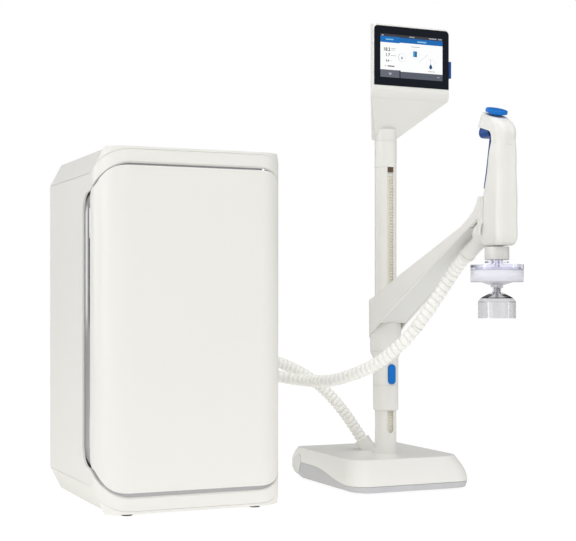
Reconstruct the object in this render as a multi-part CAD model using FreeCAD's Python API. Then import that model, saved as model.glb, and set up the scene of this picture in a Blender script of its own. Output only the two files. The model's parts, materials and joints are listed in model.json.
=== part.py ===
import FreeCAD, Part
import math
import os

# Ultrapure water system: a floor-standing bench unit with a hinged front door, and a
# tall dispenser beside it with a screen, a height-adjustable arm and a hand gun.
# Bench frame while modelling: x = 0 is the unit's left flank, y = 0 its front face,
# z = 0 the bench top, +X right, +Y back, millimetres.  The finished pieces are moved
# so that the origin is the middle of the footprint of everything but the free hoses.

Vec = FreeCAD.Vector
X_AXIS = Vec(1, 0, 0)
Y_AXIS = Vec(0, 1, 0)
Z_AXIS = Vec(0, 0, 1)
HALF_ROOT = math.sqrt(0.5)

# ---- fits and clearances -------------------------------------------------------------
RUN_GAP = 0.3        # between pieces that move past each other
PIN_GAP = 0.06       # radial, on hinge pins and small shafts
SEAM = 0.4           # visible gap between two fixed panels
BIG = 60.0           # how far cutting tools reach past what they cut

# ---- purification unit ---------------------------------------------------------------
UNIT_W = 270.0
UNIT_D = 287.0
UNIT_H = 497.0
FOOT_H = 4.0             # rubber feet, the same on the unit and on the dispenser
FOOT_R = 7.5
UNIT_FOOT_INSET_X = 42.0
UNIT_FOOT_INSET_Y = 21.0
CORNER_R = 42.0          # vertical front corners
BEVEL_W = 17.5           # long bevels along the top and bottom of the flanks
BEVEL_H = 33.0
BEVEL_FADE = 53.0        # depth over which a bevel dies out towards the front
BEVEL_LEFT_OVER = 5.5    # what is left of the bevel at the front face
CASE_WALL = 3.0
COVER_FRONT_LIP = 3.5    # height of the top cover and the pan on the front face
COVER_BEND = (65.0, 45.0, 18.0, 0.64)

# Seen from the side, each panel line is flat on the flank, starts to rise at the first
# depth and reaches its height on the front face at depth 0.  The other two depths and
# the share of the rise steer the curve between.
DOOR_BEND = (38.5, 28.0, 14.0, 0.86)
GRIP_BEND = (66.0, 45.0, 18.0, 0.54)
DOOR_DEPTH = 54.5        # how far the door wraps back along the flanks
DOOR_TOP = UNIT_H - 25.2     # upper door edge on the front face, above the bench
DOOR_TOP_FLANK = UNIT_H - 53.0   # and on the flank
DOOR_LOW = 32.0
DOOR_LOW_FLANK = 62.0
DOOR_WALL = 2.6
GRIP_W = 41.0            # width of the bright grip strip on the flank
GRIP_TOP = UNIT_H - 19.7     # upper edge of the opening on the front face
GRIP_TOP_FLANK = UNIT_H - 57.5   # and on the flank
TRIM_WALL = 2.5
TRIM_LAP = 4.0           # how far the strip runs under the casing edge
TRIM_LAP_DOOR = 3.0      # and behind the door edge
GROOVE_DEPTH = 1.5
GROOVE_MARGIN = 3.0

LINER_DEPTH = 21.4       # tray inside the door, measured from the door's inner face
LINER_WALL = 2.0
LINER_INSET_X = 14.0
LINER_INSET_Z = 22.0     # from the door's edges on the front face

HINGE_X = 3.2            # hinge axis from the left flank
HINGE_BACK = 3.8         # hinge axis behind the door edge
BARREL_R = 3.0
BARREL_L = 34.0
HINGE_PIN_R = 1.5
HINGE_EAR_T = 3.0
HINGE_LOW = 110.0        # centre heights of the two hinges above the bench
HINGE_HIGH = UNIT_H - 101.0
LEAF_T = 2.0
LEAF_L = 15.5
BRACKET_T = 2.0
BRACKET_L = 46.0

CATCH_Y = 46.0           # face of the magnet
CATCH_Z = UNIT_H / 2 + 1.5
CATCH_H = 28.0
CATCH_W = 10.0
CATCH_DEPTH = 20.0

SHEET = 2.0              # chassis sheet
CHASSIS_INSET = 18.0
BULKHEAD_Y = 118.0

CART_R = 38.0
CART_X = (UNIT_W / 2 - 55, UNIT_W / 2 + 55)   # cartridge axes
CART_Y = 74.0
CART_H = UNIT_H - 162.0
CART_DOME = 12.0
CART_NECK_R = 20.0
CART_NOZZLE_R = 6.0
CART_NOZZLE_L = 14.0
CART_NOZZLE_PITCH = 20.0
CART_GRIP_H = 16.0
DOCK_H = 46.0
DOCK_MARGIN = 12.0

PUMP_R = 28.0
PUMP_MOTOR_L = 84.0
PUMP_HEAD_R = 31.0
PUMP_HEAD_L = 34.0
PUMP_X = 48.0
PUMP_Y = 206.0
PUMP_LIFT = 14.0         # motor underside above the chassis sheet

LAMP_R = 22.0
LAMP_L = UNIT_H - 197.0
LAMP_X = UNIT_W - 48.0
LAMP_Y = 176.0
LAMP_Z = 128.0
CLAMP_H = 14.0
CLAMP_T = 3.0

SUPPLY_H = 120.0         # power supply, and how far its top is below the cover
SUPPLY_DROP = 47.0
BOARD_DROP = 30.0            # main board below the power supply
BOARD_LOW = 186.0
MONITOR_H = 80.0
MONITOR_DROP = 99.0

BACK_RECESS = 3.0        # back panel behind the rear edge of the casing
INLET_W = 50.0           # mains inlet module on the back panel
INLET_H = 74.0
INLET_X = 62.0
INLET_Z = 86.0
INLET_FLANGE = 2.5
INLET_BODY_DEPTH = 24.0
SOCKET_W = 24.0
SOCKET_H = 16.5
SOCKET_DEPTH = 16.0
SOCKET_DROP = 17.0       # socket centre below the module centre
BLADE_T = 2.0
BLADE_H = 4.0
BLADE_L = 13.0
BLADE_PITCH = 14.0
ROCKER_W = 13.0
ROCKER_H = 19.0
ROCKER_RISE = 18.0       # rocker centre above the module centre
ROCKER_DEPTH = 11.0

PORT_X = (UNIT_W - 74.0, UNIT_W - 38.0)  # feed and drain push-fit ports on the back
PORT_Z = 64.0
PORT_R = 8.5
PORT_OUT = 17.0
PORT_IN = 9.0
TUBE_R = 4.1             # bore for an 8 mm tube
TUBE_DEPTH = 15.0

HOSE_R = 9.5             # outside of the corrugated hoses
GLAND_FLANGE_R = 15.0
GLAND_FLANGE_T = 3.0
GLAND_NECK_R = 11.6
GLAND_NECK_L = 4.0
GLAND_STEM_R = 9.6
GLAND_STEM_L = 9.0

# ---- dispenser -----------------------------------------------------------------------
POD_X = 500.0            # column axis
POD_Y = 141.0
POD_FOOT_H = 3.2         # lower rim of the cover above the bench
POD_TOP = 50.0
POD_MID = 22.0           # height of the widest outline
POD_WALL = 3.0
POD_TRAY_STEP = 0.8      # lower tray stands back from the cover
POD_FRONT = 100.0        # reach of the foot forward of the column axis
POD_SIDE = 99.0
POD_BACK = 115.0
POD_MID_FRONT = 95.0
POD_MID_SIDE = 103.0
POD_MID_BACK = 145.0
POD_TOP_FRONT = 76.0
POD_TOP_SIDE = 92.0
POD_TOP_BACK = 146.0
POD_CORNER_FRONT = 30.0
POD_CORNER_BACK = 17.0
PART_BACK_Z = 29.0       # parting line of cover and tray: height at the back
PART_FRONT_Z = 13.0      # and at the front
PART_S_START = 58.0      # the line drops between these reaches behind the axis
PART_S_END = -82.0
WEIGHT_T = 9.0
WEIGHT_INSET = 26.0
POD_FOOT_INSET = 34.0

CAP_R = 15.5             # round side cover over the service sockets
CAP_BACK = 116.0         # its axis behind the column
CAP_Z = 25.0
CAP_PROUD = 0.6
CAP_WALL = 2.0
CAP_PLUG_R = 11.0
CAP_PLUG_L = 7.0
BOSS_BACK = 50.5         # hose boss behind the column axis
BOSS_R = 12.4
BOSS_L = 21.0
BOSS_LEAN = Vec(-0.466, 0.254, 0.847)

COLUMN_R = 17.0
COLUMN_WALL = 2.5
COLUMN_TOP = 499.0
COLUMN_PLUG_H = 42.0     # boss on the ballast plate inside the column's foot
SLOT_W = 10.4
SLOT_LOW = 83.0
RACK_W = 13.0
RACK_T = 7.4
RACK_SET_BACK = 4.6      # rack face behind the outside of the column
TOOTH_W = 4.4
TOOTH_H = 1.7
TOOTH_PITCH = 4.6
STOP_H = 8.0
COLLAR_R = 17.2
COLLAR_TOP = COLUMN_TOP + 42.0
COLLAR_SPIGOT_L = 14.0
COLLAR_CHAMFER = 0.7     # makes the seams above and below the collar show

HEAD_LEFT = 44.5         # screen head, left and right of the column axis
HEAD_RIGHT = 90.0
HEAD_LOW = COLLAR_TOP + 62.0
HEAD_HIGH = HEAD_LOW + 113.0
HEAD_FACE = 43.0         # front face ahead of the column axis
BEZEL_T = 8.0
BEZEL_R = 9.0
BEZEL_EDGE_R = 2.0
FOLD_BACK = 5.0          # the funnel's front begins this far behind the face
FOLD_R = 16.0            # and bends into it with this radius
GLASS_R = 6.0            # upper corners of the glass
GLASS_LEFT = 42.5
GLASS_RIGHT = 89.0
GLASS_LOW = HEAD_LOW + 18.5
GLASS_HIGH = HEAD_HIGH - 3.0
GLASS_T = 2.0
PANEL_T = 5.0
PANEL_INSET = 11.0
HEAD_WALL = 2.6
HEAD_EDGE_R = 7.0
NECK_R = 17.0
NECK_TOP = COLLAR_TOP + 18.0
NECK_SPIGOT_R = 11.0
NECK_SPIGOT_L = 22.0
HEAD_THROAT = COLLAR_TOP + 3.0      # height where the funnel meets the neck
HEAD_BACK_TOP = 14.0     # back of the head ahead of the axis at the top
HEAD_BACK = 17.5         # and behind the axis at the throat
HEAD_TAPER = 0.55        # how fast the head narrows towards its back, each side
HEAD_BACK_BEND = HEAD_LOW
TAB_W = 6.0
TAB_H = 26.0
TAB_T = 8.0
TAB_Z = HEAD_LOW + 50.5
SLEEVE_LOW = 118.7
SLEEVE_LOW_R = 20.0
SLEEVE_CONE_LOW = 199.8
SLEEVE_CONE_HIGH = 210.0
SLEEVE_R = 24.4
SLEEVE_TOP = 262.0
SLEEVE_SEAM_Z = 157.6
SEAM_DEPTH = 0.5

ARM_REAR_R = 26.0
ARM_FRONT_HALF_W = 20.5
ARM_WALL = 3.0
ARM_COVER_T = 2.2
ARM_COVER_SET_IN = 1.0
# reach behind the axis, height
ARM_TOP_LINE = ((26.0, 284.0), (10.0, 290.0), (-15.0, 298.0), (-84.0, 326.0), (-262.0, 392.0),
                (-281.0, 402.5), (-295.0, 412.5), (-303.0, 423.0), (-306.0, 431.0),
                (-312.0, 431.0))
ARM_LOW_LINE = ((-311.0, 405.0), (-191.0, 344.0), (-23.0, 254.0), (10.0, 232.0),
                (26.0, 232.0))

BUTTON_W = 11.8
BUTTON_H = 31.0
BUTTON_Z = 175.0
BUTTON_PROUD = 2.4
BUTTON_T = 3.0
BUTTON_STEM_W = 8.0
BUTTON_STEM_H = 18.0
BUTTON_STEM_L = 2.5
PAWL_Z = 141.4
PAWL_H = 13.8
PAWL_W = 4.0
PAWL_T = 2.2
PAWL_TRAVEL = 1.6

# ---- gun, filter and bell ------------------------------------------------------------
GUN_REACH = 321.0        # gun axis forward of the column axis
GUN_LOW = 364.0
# height, centre behind the gun axis, half width, half depth
GUN_SECTIONS = ((364.0, -4.0, 12.5, 19.5),
                (368.5, -4.6, 15.6, 23.2),
                (376.0, -4.9, 17.0, 24.9),
                (390.0, -4.9, 17.0, 24.7),
                (430.0, -7.8, 16.5, 22.3),
                (465.0, -11.6, 15.5, 17.3),
                (500.0, -15.2, 14.6, 12.9),
                (524.0, -14.0, 11.0, 8.0))
HEAD_SECTIONS = ((498.0, 0.3, 14.7, 28.9),
                 (516.0, 0.5, 15.4, 31.4),
                 (525.0, 2.65, 15.3, 29.25),
                 (530.0, 4.6, 15.0, 25.6),
                 (536.0, 7.95, 14.2, 20.2),
                 (552.0, 3.0, 8.5, 10.0))
GUN_ROUND = 0.5          # corner radius as a share of the handle's half width
HEAD_ROUND = 0.75        # and of the head's
NOSE_BACK = -3.5         # a point of the sloping underside of the head
NOSE_Z = 518.5
NOSE_SLOPE = 0.3
NOSE_ROOT = -9.0         # where the underside has turned down into the handle
NOSE_BEND_R = 9.0
GUN_CAVITY_HALF_W = 11.5
GUN_CAVITY_LOW = 374.0
GUN_CAVITY_HIGH = 500.0
GUN_CAVITY_FRONT = -25.0
GUN_CAVITY_REAR = ((15.0, 374.0), (7.5, 424.0), (-10.5, 500.0))
# distance along the cuff's line from where it leaves the heel, radius
HEEL_PROFILE = ((-40.0, 12.0), (-30.0, 16.2), (-18.0, 19.3), (-8.0, 19.8), (0.0, 17.8),
                (5.0, 14.8), (9.0, 11.4))
CUFF_R = 10.4
CUFF_ROOM_R = 14.5       # channel in the arm for the cuff
CUFF_START_BACK = 33.0   # where the cuff leaves the heel, behind the gun axis
CUFF_END_BACK = 78.0
CUFF_END_Z = 354.0
CUFF_SLOPE = 0.52        # fall of the cuff per millimetre of run
CRADLE_T = 4.0
CRADLE_LOW = 378.0
CRADLE_HIGH = 431.0
CRADLE_FRONT = 8.0       # front edge of the cheeks behind the gun axis

KNOB_TILT = 20.0         # degrees forward
KNOB_R = 15.0
KNOB_T = 5.0
KNOB_SEAT_Z = 540.5
KNOB_GAP = 3.4
KNOB_PRESS = 3.0
KNOB_BOSS_R = 7.0
STEM_R = 3.0
STEM_L = 10.5
KNOB_BACK = 3.0          # middle of the knob's seat behind the gun axis

TRIGGER_PIVOT_BACK = 10.5
TRIGGER_PIVOT_Z = 436.5
TRIGGER_PULL = 2.0       # degrees
TRIGGER_PIN_R = 1.6
TRIGGER_PIN_L = 24.0
TRIGGER_WEB_W = 16.0
TRIGGER_WEB = ((-5.2, 511.2), (-1.8, 511.6), (7.6, 465.0), (13.0, 440.0), (13.0, 431.6),
               (7.2, 431.6), (7.2, 441.5), (4.4, 465.0))
TRIGGER_PLATE_W = 24.8   # the part that the fingers pull
TRIGGER_PLATE = ((-3.8, 511.2), (-1.6, 511.7), (7.9, 465.0), (13.7, 443.0), (12.3, 441.5),
                 (5.6, 465.0))
TRIGGER_TONGUE_W = 20.0
TRIGGER_TONGUE = ((-5.0, 509.6), (1.0, 509.6), (5.0, 512.6), (5.0, 515.0), (-5.0, 511.2))
# height, centre behind the gun axis, half width, half depth
PAD_SECTIONS = ((511.6, 1.75, 10.0, 24.2),
                (513.0, 1.75, 12.4, 27.1),
                (516.0, 1.75, 13.9, 28.5),
                (520.0, 1.75, 14.2, 28.75),
                (535.0, 1.75, 14.2, 28.75))
PAD_FRONT = 0.5          # where the full width of the pad begins behind the gun axis
PAD_RISE = 0.4           # how far the pad reaches up into its pocket
POCKET_RISE = 3.0        # depth of the pocket
POCKET_FRONT = -3.6
POCKET_GAP = 0.5

COLLAR_NOZZLE_R = 16.5
COLLAR_NOZZLE_LOW = 345.0
COLLAR_NOZZLE_HIGH = 362.5
NOZZLE_SPIGOT_R = 8.0
NOZZLE_SPIGOT_TOP = 380.0
NOZZLE_BORE_R = 3.5
VALVE_W = 20.0
VALVE_FRONT = 16.0
VALVE_REAR = 6.5
VALVE_TOP = 428.0

FILTER_LOW = 315.0
FILTER_SEAM = 332.0
FILTER_TOP = 338.7
FILTER_LID_RIM_R = 35.8
FILTER_BODY_R = 35.2
FILTER_WALL = 3.0
FILTER_NECK_R = 8.0
FILTER_NECK_TOP = 349.0
WING_L = 33.0
WING_W = 9.0
WING_T = 2.2
WING_Z = 340.8
FUNNEL_R = 11.0
FUNNEL_LOW = 311.5
HEX_R = 9.3
HEX_LOW = 307.4
OUTLET_R = 4.0
OUTLET_LOW = 301.5
SPOUT_R = 2.2
SPOUT_LOW = 293.0
SPOUT_BORE_R = 1.2
MEMBRANE_R = 29.0
MEMBRANE_T = 1.6
MEMBRANE_COUNT = 5
MEMBRANE_PITCH = 2.2
BELL_NECK_R = 5.7
BELL_R = 25.2
BELL_SHOULDER_R = 21.0
BELL_NECK_TOP = HEX_LOW - 0.1
BELL_THROAT = BELL_NECK_TOP - 5.3    # where the neck meets the shoulders
BELL_SHOULDER_Z = BELL_NECK_TOP - 13.3
BELL_EDGE_Z = BELL_NECK_TOP - 18.8
BELL_LOW = BELL_NECK_TOP - 41.1
BELL_WALL = 1.4

# ---- hose routes: points of the free hoses, chosen by hand ------------------------------
HOSE_FIRST_RUN = 24.0    # straight stretch at each end of a hose
GUN_HOSE_START = (229.0, 182.0)       # where the glands sit on the right flank: y, z
BASE_HOSE_START = (262.0, 203.0)
GUN_HOSE_ROUTE = ((323, 226, 177), (342, 217, 172), (358, 203, 168), (371, 185, 166),
                  (380, 165, 165), (392, 114, 167), (409, 72, 179), (424, 33, 194),
                  (438, 2, 215), (455, -20, 240))
# the rest, which the arm carries
ARM_HOSE_ROUTE = ((468, -37, 266), (483, -48, 294), (496, -62, 322))
BASE_HOSE_ROUTE = ((335, 260, 199), (368, 255, 190), (398, 246, 176), (424, 234, 157),
                   (446, 221, 133), (463, 210, 108))
HOSE_SPLIT_GAP = 0.3

# ---- derived places ------------------------------------------------------------------
CASE_LOW = FOOT_H
ARM_FLOOR = SLEEVE_TOP - 62.0    # heights that clear the arm and the gun, for cutting tools
ARM_CEILING = GUN_LOW + 96.0
GUN_CEILING = GUN_LOW + 236.0
BOARD_TOP = UNIT_H - SUPPLY_DROP - SUPPLY_H - BOARD_DROP
MONITOR_TOP = UNIT_H - MONITOR_DROP
CASE_MIDDLE = (CASE_LOW + UNIT_H) / 2
HINGE_Y = DOOR_DEPTH + HINGE_BACK
GUN_Y = POD_Y - GUN_REACH
BACK_Y = UNIT_D - BACK_RECESS
CHASSIS_Z = CASE_LOW + CASE_WALL
FLOOR_Z = CHASSIS_Z + SHEET
KNOB_AXIS = Vec(0, -math.sin(math.radians(KNOB_TILT)), math.cos(math.radians(KNOB_TILT)))
KNOB_SEAT = Vec(POD_X, GUN_Y + KNOB_BACK, KNOB_SEAT_Z)
CUFF_DIR = Vec(0, 1, -CUFF_SLOPE).normalize()
CUFF_END = Vec(POD_X, GUN_Y + CUFF_END_BACK, CUFF_END_Z)
BOSS_DIR = Vec(BOSS_LEAN).normalize()
BOSS_FOOT = Vec(POD_X - 1.5, POD_Y + BOSS_BACK, POD_TOP - 4)
BOSS_END = BOSS_FOOT + BOSS_DIR * (BOSS_L + 4)
GLAND_X = UNIT_W + GLAND_FLANGE_T + GLAND_NECK_L


# ---- helpers -------------------------------------------------------------------------
def box(x0, x1, y0, y1, z0, z1):
    return Part.makeBox(x1 - x0, y1 - y0, z1 - z0, Vec(x0, y0, z0))


def rod(radius, start, direction, length):
    return Part.makeCylinder(radius, length, start, direction)


def pipe_piece(outer, inner, start, direction, length):
    core = rod(inner, start - direction, direction, length + 2)
    return rod(outer, start, direction, length).cut(core)


def prism_x(points, x0, x1):
    """Closed outline of (y, z) points, run across from x0 to x1."""
    corners = [Vec(x0, y, z) for y, z in points]
    face = Part.Face(Part.makePolygon(corners + corners[:1]))
    return face.extrude(Vec(x1 - x0, 0, 0))


def prism_y(points, y0, y1):
    """Closed outline of (x, z) points, run back from y0 to y1."""
    corners = [Vec(x, y0, z) for x, z in points]
    face = Part.Face(Part.makePolygon(corners + corners[:1]))
    return face.extrude(Vec(0, y1 - y0, 0))


def rounded_wire(x0, x1, y0, y1, z, r_front, r_back):
    """Rectangle in plan with its front and back corners rounded."""
    def corner(cx, cy, r, sx, sy):
        mid = Vec(cx + sx * r * HALF_ROOT, cy + sy * r * HALF_ROOT, z)
        return Vec(cx + sx * r, cy, z), mid, Vec(cx, cy + sy * r, z)

    right_front = corner(x1 - r_front, y0 + r_front, r_front, 1, -1)
    right_back = corner(x1 - r_back, y1 - r_back, r_back, 1, 1)
    left_back = corner(x0 + r_back, y1 - r_back, r_back, -1, 1)
    left_front = corner(x0 + r_front, y0 + r_front, r_front, -1, -1)
    edges = [Part.Arc(*right_front[::-1]).toShape(),
             Part.LineSegment(right_front[0], right_back[0]).toShape(),
             Part.Arc(*right_back).toShape(),
             Part.LineSegment(right_back[2], left_back[2]).toShape(),
             Part.Arc(*left_back[::-1]).toShape(),
             Part.LineSegment(left_back[0], left_front[0]).toShape(),
             Part.Arc(*left_front).toShape(),
             Part.LineSegment(left_front[2], right_front[2]).toShape()]
    return Part.Wire(edges)


def plate_y(x0, x1, z0, z1, r, y0, y1):
    """Upright plate with rounded corners, seen from the front."""
    flat = Part.Face(rounded_wire(x0, x1, z0, z1, 0, r, r))
    flat.rotate(Vec(0, 0, 0), X_AXIS, 90)
    flat.translate(Vec(0, y0, 0))
    return flat.extrude(Vec(0, y1 - y0, 0))


def turned(points, centre):
    """Solid of revolution about a vertical axis from (radius, height) points."""
    corners = [centre + Vec(r, 0, z) for r, z in points]
    face = Part.Face(Part.makePolygon(corners + corners[:1]))
    return face.revolve(centre, Z_AXIS, 360)


def joined(shapes):
    whole = shapes[0].fuse(list(shapes[1:]))
    return whole.removeSplitter()


def group(shapes):
    return Part.makeCompound(list(shapes))


# ---- unit: outer form and its regions --------------------------------------------------
def bevel_cutter(inset, back):
    """Everything outside the upper left bevel, which dies out towards the front."""
    slant = math.hypot(BEVEL_W, BEVEL_H)
    along = Vec(BEVEL_W / slant, 0, BEVEL_H / slant)
    outward = Vec(-BEVEL_H / slant, 0, BEVEL_W / slant)
    foot = Vec(0, 0, UNIT_H - BEVEL_H) - outward * inset
    fade_shift = BEVEL_W * BEVEL_H / slant - BEVEL_LEFT_OVER

    def section(y, shift):
        start = foot + outward * shift + Vec(0, y, 0)
        corners = [start - along * BIG, start + along * (slant + BIG)]
        corners += [corners[1] + outward * BIG, corners[0] + outward * BIG]
        return Part.makePolygon(corners + corners[:1])

    ahead = fade_shift * (1 + 5 / BEVEL_FADE)
    faded = Part.makeLoft([section(-5, ahead), section(BEVEL_FADE, 0)], True, True)
    straight = Part.Face(section(BEVEL_FADE, 0)).extrude(Vec(0, back - BEVEL_FADE + 5, 0))
    return faded.fuse(straight)


def unit_body(inset, back=UNIT_D):
    """The unit's outer form with its front, top, bottom and flanks moved in by inset."""
    r = CORNER_R - inset
    x0, x1, y0 = inset, UNIT_W - inset, inset
    low, high = CASE_LOW + inset, UNIT_H - inset
    m = r * (1 - HALF_ROOT)
    left = Part.Arc(Vec(x0, y0 + r, low), Vec(x0 + m, y0 + m, low), Vec(x0 + r, y0, low))
    right = Part.Arc(Vec(x1 - r, y0, low), Vec(x1 - m, y0 + m, low), Vec(x1, y0 + r, low))
    wire = Part.Wire([left.toShape(),
                      Part.LineSegment(Vec(x0 + r, y0, low), Vec(x1 - r, y0, low)).toShape(),
                      right.toShape(),
                      Part.LineSegment(Vec(x1, y0 + r, low), Vec(x1, back, low)).toShape(),
                      Part.LineSegment(Vec(x1, back, low), Vec(x0, back, low)).toShape(),
                      Part.LineSegment(Vec(x0, back, low), Vec(x0, y0 + r, low)).toShape()])
    body = Part.Face(wire).extrude(Vec(0, 0, high - low))
    middle = Vec(UNIT_W / 2, 0, CASE_MIDDLE)
    upper_left = bevel_cutter(inset, back)
    upper_right = upper_left.mirror(middle, X_AXIS)
    lower_left = upper_left.mirror(middle, Z_AXIS)
    lower_right = upper_right.mirror(middle, Z_AXIS)
    return body.cut([upper_left, upper_right, lower_left, lower_right])


def line_x(points, x0=-5.0):
    """Edges through (y, z) points in the plane x = x0."""
    corners = [Vec(x0, y, z) for y, z in points]
    return [Part.LineSegment(a, b).toShape() for a, b in zip(corners, corners[1:])]


def bend_x(bend, front_z, flank_z, x0=-5.0):
    depth, near_flank, near_front, share = bend
    curve = Part.BezierCurve()
    curve.setPoles([Vec(x0, 0, front_z), Vec(x0, near_front, flank_z + share * (front_z - flank_z)),
                    Vec(x0, near_flank, flank_z), Vec(x0, depth, flank_z)])
    return curve.toShape()


def across(edges):
    """Closed side outline run through the whole width of the unit."""
    return Part.Face(Part.Wire(edges)).extrude(Vec(UNIT_W + 10, 0, 0))


def side_window(bend, back, top, top_flank, low, low_flank):
    """Opening as seen from the side: open at the front, rear corners rounded."""
    x0 = -5.0
    r = back - bend[0]
    m = r * (1 - HALF_ROOT)
    lower = Part.Arc(Vec(x0, back - r, low_flank), Vec(x0, back - m, low_flank + m),
                     Vec(x0, back, low_flank + r))
    upper = Part.Arc(Vec(x0, back - r, top_flank), Vec(x0, back - m, top_flank - m),
                     Vec(x0, back, top_flank - r))
    edges = line_x([(-5, low), (0, low)]) + [bend_x(bend, low, low_flank), lower.toShape()]
    edges += line_x([(back, low_flank + r), (back, top_flank - r)])
    edges += [upper.toShape(), bend_x(bend, top, top_flank)]
    edges += line_x([(0, top), (-5, top), (-5, low)])
    return across(edges)


def door_window(grow):
    return side_window(DOOR_BEND, DOOR_DEPTH + grow, DOOR_TOP + grow, DOOR_TOP_FLANK + grow,
                       DOOR_LOW - grow, DOOR_LOW_FLANK - grow)


def opening_window(grow):
    top, flank = GRIP_TOP + grow, GRIP_TOP_FLANK + grow
    return side_window(GRIP_BEND, DOOR_DEPTH + GRIP_W + grow, top, flank,
                       2 * CASE_MIDDLE - top, 2 * CASE_MIDDLE - flank)


def cover_region(shift):
    """Above the parting line of the top cover; shift raises the line."""
    lip = UNIT_H - COVER_FRONT_LIP + shift
    flank = UNIT_H - BEVEL_H + shift
    back = UNIT_D + 5
    edges = line_x([(-5, lip), (0, lip)]) + [bend_x(COVER_BEND, lip, flank)]
    edges += line_x([(COVER_BEND[0], flank), (back, flank), (back, UNIT_H + 5), (-5, UNIT_H + 5),
                     (-5, lip)])
    return across(edges)


def pan_region(shift):
    return cover_region(shift).mirror(Vec(0, 0, CASE_MIDDLE), Z_AXIS)


def case_shell():
    return unit_body(0).cut(unit_body(CASE_WALL, UNIT_D + 5))


# ---- unit: casing and door ---------------------------------------------------------------
def casing_wrap(shell):
    """Both flanks and the narrow bands above and below the door."""
    wrap = shell.cut([cover_region(-SEAM / 2), pan_region(-SEAM / 2), opening_window(0)])
    holes = [rod(GLAND_STEM_R, Vec(UNIT_W - BIG / 2, y, z), X_AXIS, BIG)
             for y, z in gland_places()]
    return wrap.cut(holes)


def top_cover(shell):
    return shell.common(cover_region(SEAM / 2))


def base_pan(shell):
    return shell.common(pan_region(SEAM / 2))


def hinge_spans():
    """Barrel bottom heights of the lower and the upper hinge."""
    return [z - BARREL_L / 2 for z in (HINGE_LOW, HINGE_HIGH)]


def grip_trim():
    """Bright strip in the gap round the door, hollowed along the flanks."""
    skin = unit_body(CASE_WALL).cut(unit_body(CASE_WALL + TRIM_WALL))
    ring = opening_window(TRIM_LAP).cut(door_window(-TRIM_LAP_DOOR))
    trim = skin.common(ring)
    chord = GRIP_W - 2 * GROOVE_MARGIN
    r = (chord * chord / 4 + GROOVE_DEPTH * GROOVE_DEPTH) / (2 * GROOVE_DEPTH)
    y = DOOR_DEPTH + GRIP_W / 2
    bottom, height = CASE_LOW, UNIT_H - CASE_LOW
    for x in (CASE_WALL + GROOVE_DEPTH - r, UNIT_W - CASE_WALL - GROOVE_DEPTH + r):
        trim = trim.cut(rod(r, Vec(x, y, bottom), Z_AXIS, height))
    notch_r = BARREL_R + 2 * RUN_GAP
    for z in hinge_spans():
        low, high = z - HINGE_EAR_T - 2 * RUN_GAP, z + BARREL_L + HINGE_EAR_T + 2 * RUN_GAP
        notch_back = HINGE_Y + notch_r
        trim = trim.cut(box(-1, CASE_WALL + TRIM_WALL + 1, DOOR_DEPTH - LEAF_L - 2, notch_back,
                            low, high))
    return trim


def front_door():
    return unit_body(0).cut(unit_body(DOOR_WALL, UNIT_D + 5)).common(door_window(0))


def door_liner():
    """Shallow tray that closes the door's inner side, with the tab that meets the magnet."""
    y1 = DOOR_WALL + LINER_DEPTH
    z0, z1 = DOOR_LOW + LINER_INSET_Z, DOOR_TOP - LINER_INSET_Z
    x0, x1 = LINER_INSET_X, UNIT_W - LINER_INSET_X
    tray = box(x0, x1, 0, y1, z0, z1).common(unit_body(DOOR_WALL))
    hollow = box(x0 + LINER_WALL, x1 - LINER_WALL, -1, y1 - LINER_WALL,
                 z0 + LINER_WALL, z1 - LINER_WALL)
    striker = box(x1 - LINER_WALL - CATCH_W, x1 - LINER_WALL, y1 - LINER_WALL, CATCH_Y - RUN_GAP,
                  CATCH_Z, CATCH_Z + CATCH_H)
    return joined([tray.cut(hollow), striker])


def door_leaves():
    """Two rolled knuckles with their leaves, fixed inside the door's left flank."""
    leaves = []
    axis_at = Vec(HINGE_X, HINGE_Y, 0)
    bore_r = HINGE_PIN_R + PIN_GAP
    for z in hinge_spans():
        barrel = rod(BARREL_R, axis_at + Vec(0, 0, z), Z_AXIS, BARREL_L)
        x0 = DOOR_WALL
        leaf = box(x0, x0 + LEAF_T, HINGE_Y - LEAF_L, HINGE_Y, z, z + BARREL_L)
        bore = rod(bore_r, axis_at + Vec(0, 0, z - 1), Z_AXIS, BARREL_L + 2)
        leaves.append(joined([barrel, leaf]).cut(bore))
    return group(leaves)


def hinge_brackets():
    """Fixed halves: a plate on the grip strip's inner face, two ears and their riveted pin."""
    brackets = []
    x_plate = CASE_WALL + TRIM_WALL
    for z in hinge_spans():
        low, high = z - HINGE_EAR_T - RUN_GAP, z + BARREL_L + RUN_GAP
        plate = box(x_plate, x_plate + BRACKET_T, HINGE_Y, HINGE_Y + BRACKET_L,
                    low, high + HINGE_EAR_T)
        plate = plate.cut(box(0, x_plate + BRACKET_T + 1, HINGE_Y - 1, HINGE_Y + BARREL_R + 1,
                              z - RUN_GAP, high))
        ears = []
        for base in (low, high):
            eye = rod(BARREL_R, Vec(HINGE_X, HINGE_Y, base), Z_AXIS, HINGE_EAR_T)
            arm = box(HINGE_X, x_plate + BRACKET_T, HINGE_Y - 1.5, HINGE_Y + 3,
                      base, base + HINGE_EAR_T)
            ears += [eye, arm]
        pin = rod(HINGE_PIN_R, Vec(HINGE_X, HINGE_Y, low), Z_AXIS, high - low + HINGE_EAR_T)
        brackets.append(joined([plate, pin] + ears))
    return group(brackets)


def door_magnet():
    x1 = UNIT_W - LINER_INSET_X - LINER_WALL
    return box(x1 - CATCH_W, UNIT_W - CASE_WALL - TRIM_WALL, CATCH_Y, CATCH_Y + CATCH_DEPTH,
               CATCH_Z, CATCH_Z + CATCH_H)


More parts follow.
